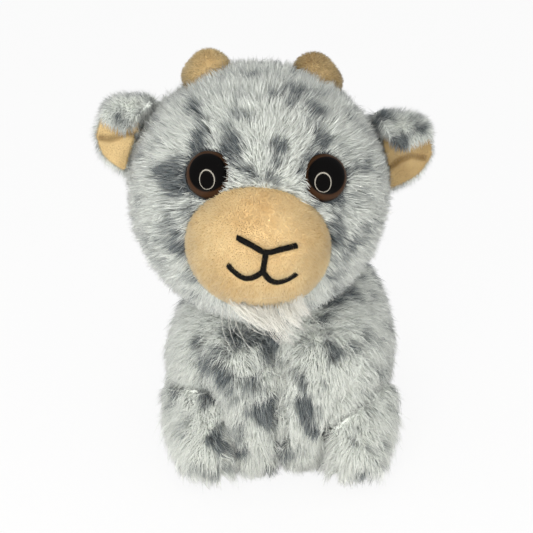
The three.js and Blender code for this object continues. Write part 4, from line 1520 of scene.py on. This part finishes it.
@dataclass
class Tail:
    """The short tail tuft on the rump."""

    depth: float = 2.4
    fur: Pile = field(default_factory=lambda: Pile(3.0, 7.0, 42.0, 0.2))

    def build(self) -> None:
        """The tail's skin and fur."""
        skin = drawn_in(remeshed(cad_copy("tail_skin", "tail"), 0.9, 4), self.depth * MM)
        mottle = Mottle(ground=0.2)
        finish_skin(skin, FUR, mottle.tone)
        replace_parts(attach(skin, "tail"), "tail")

        def comb(places: Points, normals: Points) -> Points:
            """The fur is brushed towards the tip."""
            return flat_to(np.tile((0.0, 1.0, 0.2), (len(places), 1)), normals)

        def lengths(places: Points, normals: Points) -> Points:
            """None in the seat."""
            share = np.ones(len(places))
            share[near(places + normals * self.depth * MM, "torso") < 1.0 * MM] = 0
            return share

        for piece in self.fur.grow("tail_fur", skin, FUR, comb, mottle.tone, lengths, 60):
            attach(piece, "tail")
        LOG.info("tail")


@dataclass
class Fittings:
    """The plain pieces that keep their solids: seat panel, pouch, eye buttons and washers."""

    def build(self) -> None:
        """Gives each kept node its finish."""
        looks = {
            "seat_panel": SEAT_CLOTH,
            "bean_pouch": SEAT_CLOTH,
            "eye_washer_left": WASHER_PLASTIC,
            "eye_washer_right": WASHER_PLASTIC,
            "eye_left": EYE_BUTTON,
            "eye_right": EYE_BUTTON,
        }
        for node, look in looks.items():
            slots = frame["nodes"][node].material_slots
            slots[0].material = look.material()
        LOG.info("fittings")


@dataclass
class Studio:
    """The pale floor, the soft lamps and the camera."""

    camera_at: tuple[float, float, float] = (0.373, -431.854, 310.0)
    look_at: tuple[float, float, float] = (0.373, -26.854, 96.5)
    lens: float = 73.96
    ring: tuple[float, float, float] = (150.0, 130.0, 7.0)
    ring_strength: float = 100.0
    lamps_at: tuple[float, float, float] = (0.0, -0.01, 0.09)
    world_strength: float = 0.72
    floor_shade: float = 0.86
    floor_glow: float = 0.88

    def lamp(self, name: str, at: tuple[float, float, float], size: float, power: float) -> None:
        """A square soft lamp aimed at the goat.

        Args:
            name: The lamp's name.
            at: Its place in metres.
            size: Its side in metres.
            power: Its power in watts.
        """
        light = bpy.data.lights.new(name, "AREA")
        light.size = size
        light.energy = power
        made = bpy.data.objects.new(name, light)
        made.location = at
        made.visible_glossy = False
        heading = Vector(self.lamps_at) - Vector(at)
        made.rotation_euler = heading.to_track_quat("-Z", "Y").to_euler()
        bpy.context.scene.collection.objects.link(made)

    def build(self) -> None:
        """Floor, world, lamps and camera."""
        bpy.ops.object.select_all(action="DESELECT")
        bpy.ops.mesh.primitive_plane_add(size=8)
        floor = bpy.context.object
        floor.name = "floor"
        floor.data.materials.append(self.floor_material())
        world = bpy.data.worlds.new("studio")
        bpy.context.scene.world = world
        world.use_nodes = True
        sky = world.node_tree.nodes["Background"]
        sky.inputs["Color"].default_value = (1, 1, 1, 1)
        sky.inputs["Strength"].default_value = self.world_strength
        self.lamp("key_lamp", (-0.1, -0.5, 0.3), 0.34, 1.4)
        self.lamp("fill_lamp", (0.12, -1.0, 0.08), 0.9, 2.3)
        self.lamp("top_lamp", (0.0, 0.0, 1.2), 0.8, 1.2)
        self.ring_lamp()
        data = bpy.data.cameras.new("camera")
        data.lens = self.lens
        data.sensor_width = 36
        camera = bpy.data.objects.new("camera", data)
        camera.location = Vector(self.camera_at) * MM
        heading = (Vector(self.look_at) - Vector(self.camera_at)).normalized()
        camera.rotation_euler = heading.to_track_quat("-Z", "Y").to_euler()
        bpy.context.scene.collection.objects.link(camera)
        bpy.context.scene.camera = camera
        bpy.context.scene.view_settings.view_transform = "Standard"
        LOG.info("studio")

    def ring_lamp(self) -> None:
        """A thin ring round the camera that only the glossy eyes show."""
        bpy.ops.object.select_all(action="DESELECT")
        bpy.ops.mesh.primitive_torus_add(
            major_radius=self.ring[1] * MM, minor_radius=self.ring[2] * MM, major_segments=96
        )
        ring = bpy.context.object
        ring.name = "ring_lamp"
        ring.data.transform(Matrix.Diagonal((0.86, 1.25, 1, 1)))
        camera, aim = Vector(self.camera_at) * MM, Vector(self.look_at) * MM
        heading = (aim - camera).normalized()
        ring.location = camera + heading * self.ring[0] * MM + Vector((0, 0, -0.06))
        ring.rotation_euler = heading.to_track_quat("Z", "Y").to_euler()
        for ray in ("camera", "diffuse", "shadow", "transmission", "volume_scatter"):
            setattr(ring, f"visible_{ray}", False)
        glow = bpy.data.materials.new("ring_glow")
        glow.use_nodes = True
        nodes, links = glow.node_tree.nodes, glow.node_tree.links
        light = nodes.new("ShaderNodeEmission")
        light.inputs["Strength"].default_value = self.ring_strength
        light.inputs["Color"].default_value = linear(255, 246, 228)
        links.new(light.outputs["Emission"], nodes["Material Output"].inputs["Surface"])
        ring.data.materials.append(glow)

    def floor_material(self) -> bpy.types.Material:
        """Pale floor that the camera sees nearly white, with the goat's shadow kept."""
        made = bpy.data.materials.new("pale_floor")
        made.use_nodes = True
        nodes, links = made.node_tree.nodes, made.node_tree.links
        shader = nodes["Principled BSDF"]
        shader.inputs["Base Color"].default_value = (*[self.floor_shade] * 3, 1)
        shader.inputs["Roughness"].default_value = 0.9
        glow = nodes.new("ShaderNodeEmission")
        glow.inputs["Color"].default_value = (1, 1, 1, 1)
        rays = nodes.new("ShaderNodeLightPath")
        share = nodes.new("ShaderNodeMath")
        share.operation = "MULTIPLY"
        share.inputs[1].default_value = self.floor_glow
        mix = nodes.new("ShaderNodeMixShader")
        links.new(rays.outputs["Is Camera Ray"], share.inputs[0])
        links.new(share.outputs[0], mix.inputs["Fac"])
        links.new(shader.outputs["BSDF"], mix.inputs[1])
        links.new(glow.outputs["Emission"], mix.inputs[2])
        links.new(mix.outputs["Shader"], nodes["Material Output"].inputs["Surface"])
        return made


def main() -> None:
    """Builds every piece in order and logs how many triangles the pieces have at the end."""
    logging.basicConfig(level=logging.INFO, format="%(message)s")
    Studio().build()
    Head().build()
    for side in (1, -1):
        Ear(side).build()
    Torso().build()
    for leg in legs():
        leg.build()
    Tail().build()
    Fittings().build()
    bpy.context.view_layer.update()
    counts = {}
    for piece in bpy.data.objects:
        if piece.type == "MESH" and not piece.hide_render:
            piece.data.calc_loop_triangles()
            counts[piece.name] = len(piece.data.loop_triangles)
    most = max(counts, key=counts.get)
    LOG.info("%d triangles, %d of them in %s", sum(counts.values()), counts[most], most)


if __name__ == "__main__":
    main()
